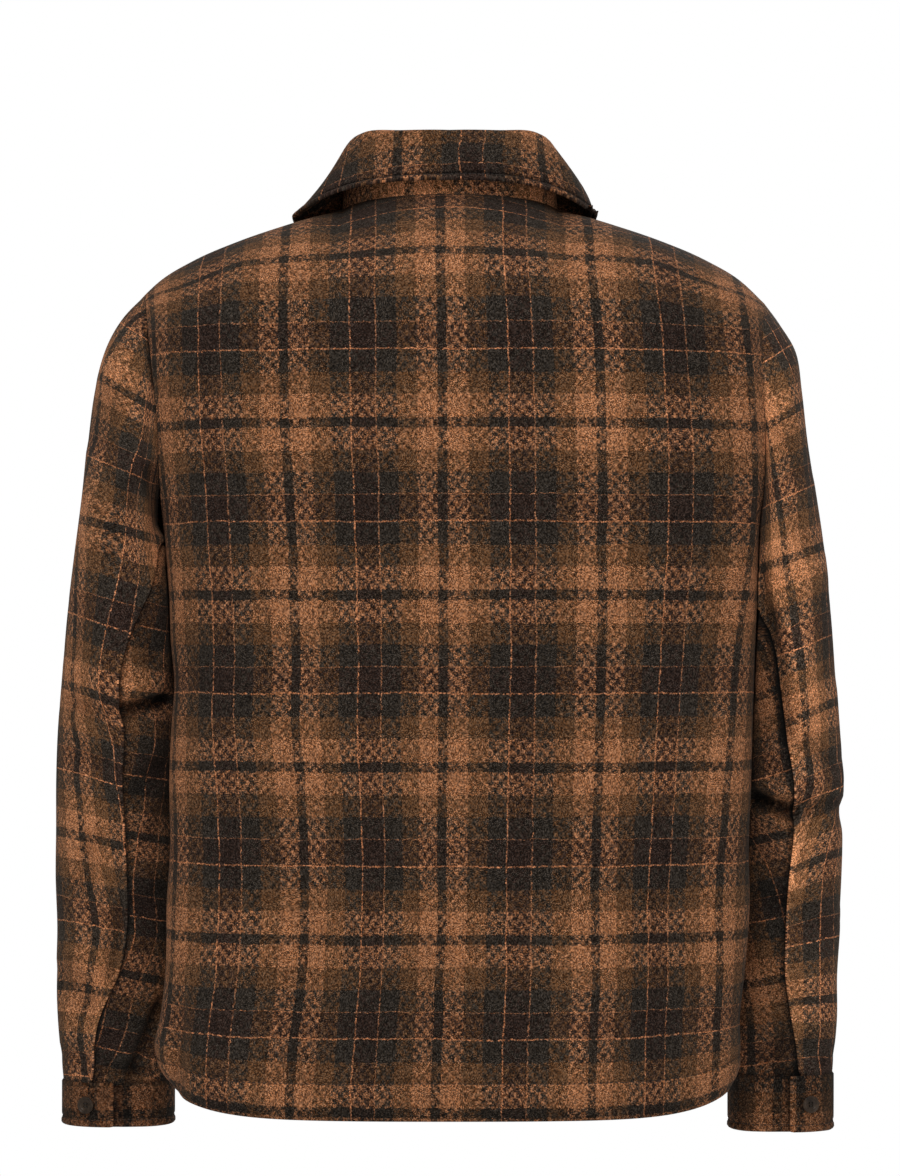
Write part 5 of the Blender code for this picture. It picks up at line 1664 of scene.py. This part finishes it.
def stitch_row(name, paths, spacing, material):
    """Rows of stitches along paths that lie on the cloth."""
    points, edges = [], []
    for path in paths:
        edges += [(len(points) + k, len(points) + k + 1) for k in range(len(path) - 1)]
        points += [tuple(p) for p in path]
    mesh = bpy.data.meshes.new(name + "_path")
    mesh.from_pydata(points, edges, [])
    obj = place_object(name, mesh)
    modifier = obj.modifiers.new("stitches", "NODES")
    modifier.node_group = stitches
    given = {"Spacing": spacing, "Thread Radius": THREAD_RADIUS, "Material": material,
             "Stitch Length": STITCH_SHARE * spacing}
    for item in stitches.interface.items_tree:
        if item.in_out == "INPUT" and item.name in given:
            modifier[item.identifier] = given[item.name]
    view = bpy.context.evaluated_depsgraph_get()
    result = bpy.data.meshes.new_from_object(obj.evaluated_get(view))
    obj.modifiers.clear()
    obj.data = result
    result.name = name
    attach(obj, "root")


def line_at(grid, width):
    """Path on a panel that keeps the given distance from its lower edge."""
    away = edge_distance(grid, "bottom")
    up = normals(grid)
    path = []
    for c in range(grid.shape[1]):
        place = between(width, away[:, c], grid[:, c])
        path.append(place + STITCH_LIFT * between(width, away[:, c], up[:, c]))
    return path


def bar_path(grid, edge, z):
    """Path of a bar tack that runs in from a sleeve's back seam."""
    away = edge_distance(grid, edge)
    row = int(np.argmin(np.abs(grid[:, -1 if edge == "end" else 0, 2] - z)))
    near = away[row] < VENT_BAR
    return grid[row, near] + BAR_LIFT * normals(grid)[row, near]


# Assembly

# copies of the wool whose tone is painted light on the sleeves and stand, and painted shade on the
# cuffs and the right under sleeve
wool = cloth_material("checked_wool", 1.0)
sleeve_wool = {side: cloth_material("sleeve_wool_" + side, SLEEVE_PAINTED_LIGHT[side]) for side in SIDES}
cuff_wool = {side: cloth_material("cuff_wool_" + side, CUFF_PAINTED_SHADE[side]) for side in SIDES}
under_wool = {"left": wool, "right": cloth_material("under_wool_right", UNDER_PAINTED_SHADE_RIGHT)}
stand_wool = cloth_material("stand_wool", STAND_PAINTED_LIGHT)
horn = horn_material("dark_horn")
dark_thread = thread_material("dark_thread", (0.030, 0.022, 0.017))
tan_thread = thread_material("tan_thread", (0.240, 0.120, 0.062))
stitches = stitch_tree()


def sew_back(back):
    """The back, with its hem."""
    uv = back_uv(back)
    depth = BACK_GAIN * sunk(back, BACK_CREASES, 1)
    # painted shade in the creases and darker towards the hem, a painted highlight along the armholes
    painted_shading = BACK_SHADE_SHARE * crease_shading(depth) + beside(back, "bottom", *HEM_SHADE)
    painted_shading += beside(back, "start", *ARMHOLE_HIGHLIGHT) + beside(back, "end", *ARMHOLE_HIGHLIGHT)
    back = press(back, depth)
    back = step_edge(step_edge(back, "start", EDGE_PROUD), "end", EDGE_PROUD)
    back = stitched_turning(back, HEM_TURNING, HEM_PROUD)
    shell("back_panel", back, CLOTH, uv, wool, "back", painted_shading)
    return back


def sew_front(side, panel):
    """One front, with its hem."""
    uv = front_uv(panel)
    depth = sunk(panel, FRONT_CREASES[side], -1)
    # painted shade in the creases, painted highlight on their ridges
    painted_shading = crease_shading(depth)
    panel = press(panel, depth)
    panel = step_edge(panel, "end" if side == "left" else "start", -SIDE_SEAM_SUNK)
    panel = stitched_turning(panel, HEM_TURNING, HEM_PROUD)
    shell("front_panel_" + side, panel, CLOTH, uv, wool, "front_" + side, painted_shading)
    return panel


def sew_sleeve(side, armhole):
    """A sleeve of two pieces, and the bar tack over its vent."""
    for name, grid in make_sleeve(side, armhole).items():
        uv = sleeve_uv(grid, name, side)
        depth = SLEEVE_GAIN * sunk(grid, SLEEVE_CREASES[side], 1)
        depth += sunk(grid, SLEEVE_FRONT_CREASES[side], -1)
        back_edge = "end" if (name == "top") == (side == "left") else "start"
        # painted shade in the creases, under the armhole seam, above the cuff and along the under
        # sleeve's back seam; painted highlight on the top sleeve's seam edge
        painted_shading = crease_shading(depth) + beside(grid, "top", *ARMHOLE_SHADE)
        painted_shading += beside(grid, "bottom", *WRIST_SHADE) + beside(grid, back_edge, *SEAM_PAINTED_SHADING[name])
        grid = press(grid, depth)
        grid = step_edge(grid, "top", -EDGE_SUNK if name == "under" else -EDGE_PROUD)
        grid = step_edge(grid, back_edge, EDGE_PROUD if name == "top" else -EDGE_SUNK)
        yarn = (sleeve_wool if name == "top" else under_wool)[side]
        piece = shell("sleeve_" + name + "_cloth_" + side, grid, CLOTH, uv, yarn,
                      "sleeve_" + name + "_" + side, painted_shading)
        if name == "top":
            bar = bar_path(grid, back_edge, VENT_BAR_Z[side])
            stitch_row("vent_bar_" + side, [bar], BAR_STITCH, tan_thread)


def sew_cuff(side):
    """A cuff with its edge stitching."""
    band = make_cuff(side)
    across, up = CUFF_PLACE[side]
    uv = np.stack([across - row_run(band, 0), band[:, :, 2] + up], axis=2)
    depth = sunk(band, CUFF_CREASES[side], 1)
    # painted shade beside the cuff's lapped end and in its creases, a painted highlight on the end's
    # fold
    painted_shading = lap_shading(band, side) + crease_shading(depth)
    band = stitched_turning(press(band, depth), *CUFF_EDGE)
    piece = shell("cuff_cloth_" + side, band, DOUBLED, uv, cuff_wool[side], "cuff_" + side, painted_shading)
    stitch_row("cuff_stitches_" + side, [line_at(band, CUFF_EDGE[0])], EDGE_STITCH, dark_thread)


def sew_collar(neck, body):
    """The collar's stand, and its fall that lies on the body."""
    stand = make_stand(neck)
    flat = np.zeros(stand.shape[:2])
    piece = shell("collar_stand_cloth", stand, DOUBLED, collar_uv(stand, STAND_PLACE), stand_wool,
                  "collar_stand", flat)
    fall = push_clear(make_fall(stand), body, normals(body), DOUBLED + FALL_CLEAR)
    uv = collar_uv(fall, FALL_PLACE)
    away = edge_distance(fall, "bottom")
    # painted shade in the stitch groove and a painted highlight on the rolled edge
    painted_shading = sum(amount * np.exp(-((away - place) / reach) ** 2) for place, reach, amount in FALL_PAINTED_SHADING)
    fall = stitched_turning(fall, *FALL_STITCHED)
    shell("collar_fall_cloth", fall, DOUBLED, uv, wool, "collar_fall", painted_shading)
    stitch_row("collar_stitches", [line_at(fall, FALL_STITCHED[0])], EDGE_STITCH, dark_thread)


def sew_front_buttons(front):
    """The row of buttons down the left front."""
    column = len(LAP_FRACTIONS) - 1 - LAP_FRACTIONS.index(BUTTON_COLUMN)
    line, facings = front[:, column], normals(front)[:, column]
    for k, z in enumerate(np.linspace(BUTTON_TOP_Z, BUTTON_END_Z, BUTTON_COUNT)):
        sewn_button("front_button_%d" % (k + 1), "button_%d" % (k + 1), FRONT_BUTTON,
                    between(z, line[:, 2], line), unit(between(z, line[:, 2], facings)))


back = make_back()
fronts = {side: make_front(side) for side in SIDES}
laps = len(LAP_FRACTIONS)
first = len(shoulder_line("left")) - 1
neck = np.vstack([fronts["left"][-1, laps:FRONT_NECK_COLUMNS + laps],
                  back[-1, first:first + NECK_COLUMNS + 1],
                  fronts["right"][-1, -FRONT_NECK_COLUMNS - laps:-laps]])
armholes = {side: armhole_line(back, fronts, side) for side in SIDES}

back = sew_back(back)
fronts = {side: sew_front(side, fronts[side]) for side in SIDES}
hem_paths = [line_at(panel, HEM_TURNING) for panel in (back, fronts["left"], fronts["right"])]
stitch_row("hem_stitches", hem_paths, HEM_STITCH, dark_thread)
for side in SIDES:
    sew_sleeve(side, armholes[side])
    sew_cuff(side)
body = np.concatenate([fronts["left"], back, fronts["right"]], axis=1)
sew_collar(neck, body[-UNDER_FALL_ROWS::2, ::2])
sew_front_buttons(fronts["left"])
for side in SIDES:
    sewn_button("wrist_button_" + side, "cuff_button_" + side, CUFF_BUTTON, *cuff_seat(side))


# Stage

def lay_floor():
    """A plain pale floor."""
    mesh = bpy.data.meshes.new("floor")
    corners = [(-1, -1), (1, -1), (1, 1), (-1, 1)]
    mesh.from_pydata([(FLOOR_HALF * x, FLOOR_HALF * y, FLOOR_Z) for x, y in corners], [],
                     [(0, 1, 2, 3)])
    pale, tree, shader = new_material("pale_floor")
    feed(tree, shader, {"Base Color": (0.85, 0.85, 0.84, 1.0), "Roughness": 0.9})
    mesh.materials.append(pale)
    place_object("floor", mesh)


def light_world():
    """Even light from all round, under a white backdrop that only the camera sees."""
    world = bpy.data.worlds.new("studio")
    bpy.context.scene.world = world
    world.use_nodes = True
    tree = world.node_tree
    tree.nodes.clear()
    lit, seen = [add_node(tree, "ShaderNodeBackground", {"Strength": strength, "Color": WHITE})[0]
                 for strength in (ROUND_LIGHT, 1.0)]
    ray = add_node(tree, "ShaderNodeLightPath", {})["Is Camera Ray"]
    blend = add_node(tree, "ShaderNodeMixShader", {0: ray, 1: lit, 2: seen})
    add_node(tree, "ShaderNodeOutputWorld", {0: blend[0]})


def softbox(name, place, target, size, power):
    """A square area light aimed at a point."""
    data = bpy.data.lights.new(name, "AREA")
    data.shape = "SQUARE"
    data.size = size
    data.energy = power
    lamp = place_object(name, data)
    lamp.location = place
    lamp.rotation_euler = (Vector(target) - Vector(place)).to_track_quat("-Z", "Y").to_euler()


def set_camera():
    """The camera behind the garment, pitched a little upwards."""
    data = bpy.data.cameras.new("camera")
    data.sensor_width = SENSOR
    data.lens = SENSOR * FOCAL_PIXELS / PICTURE_HEIGHT
    camera = place_object("camera", data)
    camera.location = (0.0, VIEW_DISTANCE, VIEW_Z)
    pitch = math.atan(RISE_PIXELS / FOCAL_PIXELS)
    camera.rotation_euler = (math.radians(90.0) + pitch, 0.0, math.radians(180.0))
    bpy.context.scene.camera = camera
    bpy.context.scene.view_settings.view_transform = "Standard"


lay_floor()
light_world()
softbox("key", (0.30, 3.0, 1.75), (0.0, 0.0, -0.22), 1.2, 43.0)
softbox("top", (0.10, 0.9, 2.2), (0.0, 0.0, -0.10), 1.0, 12.0)
softbox("low_fill", (-0.9, 3.2, -0.9), (0.0, 0.0, -0.30), 1.6, 13.0)
softbox("front_fill", (-0.6, -2.6, 1.2), (0.0, 0.0, -0.3), 1.8, 24.0)
set_camera()
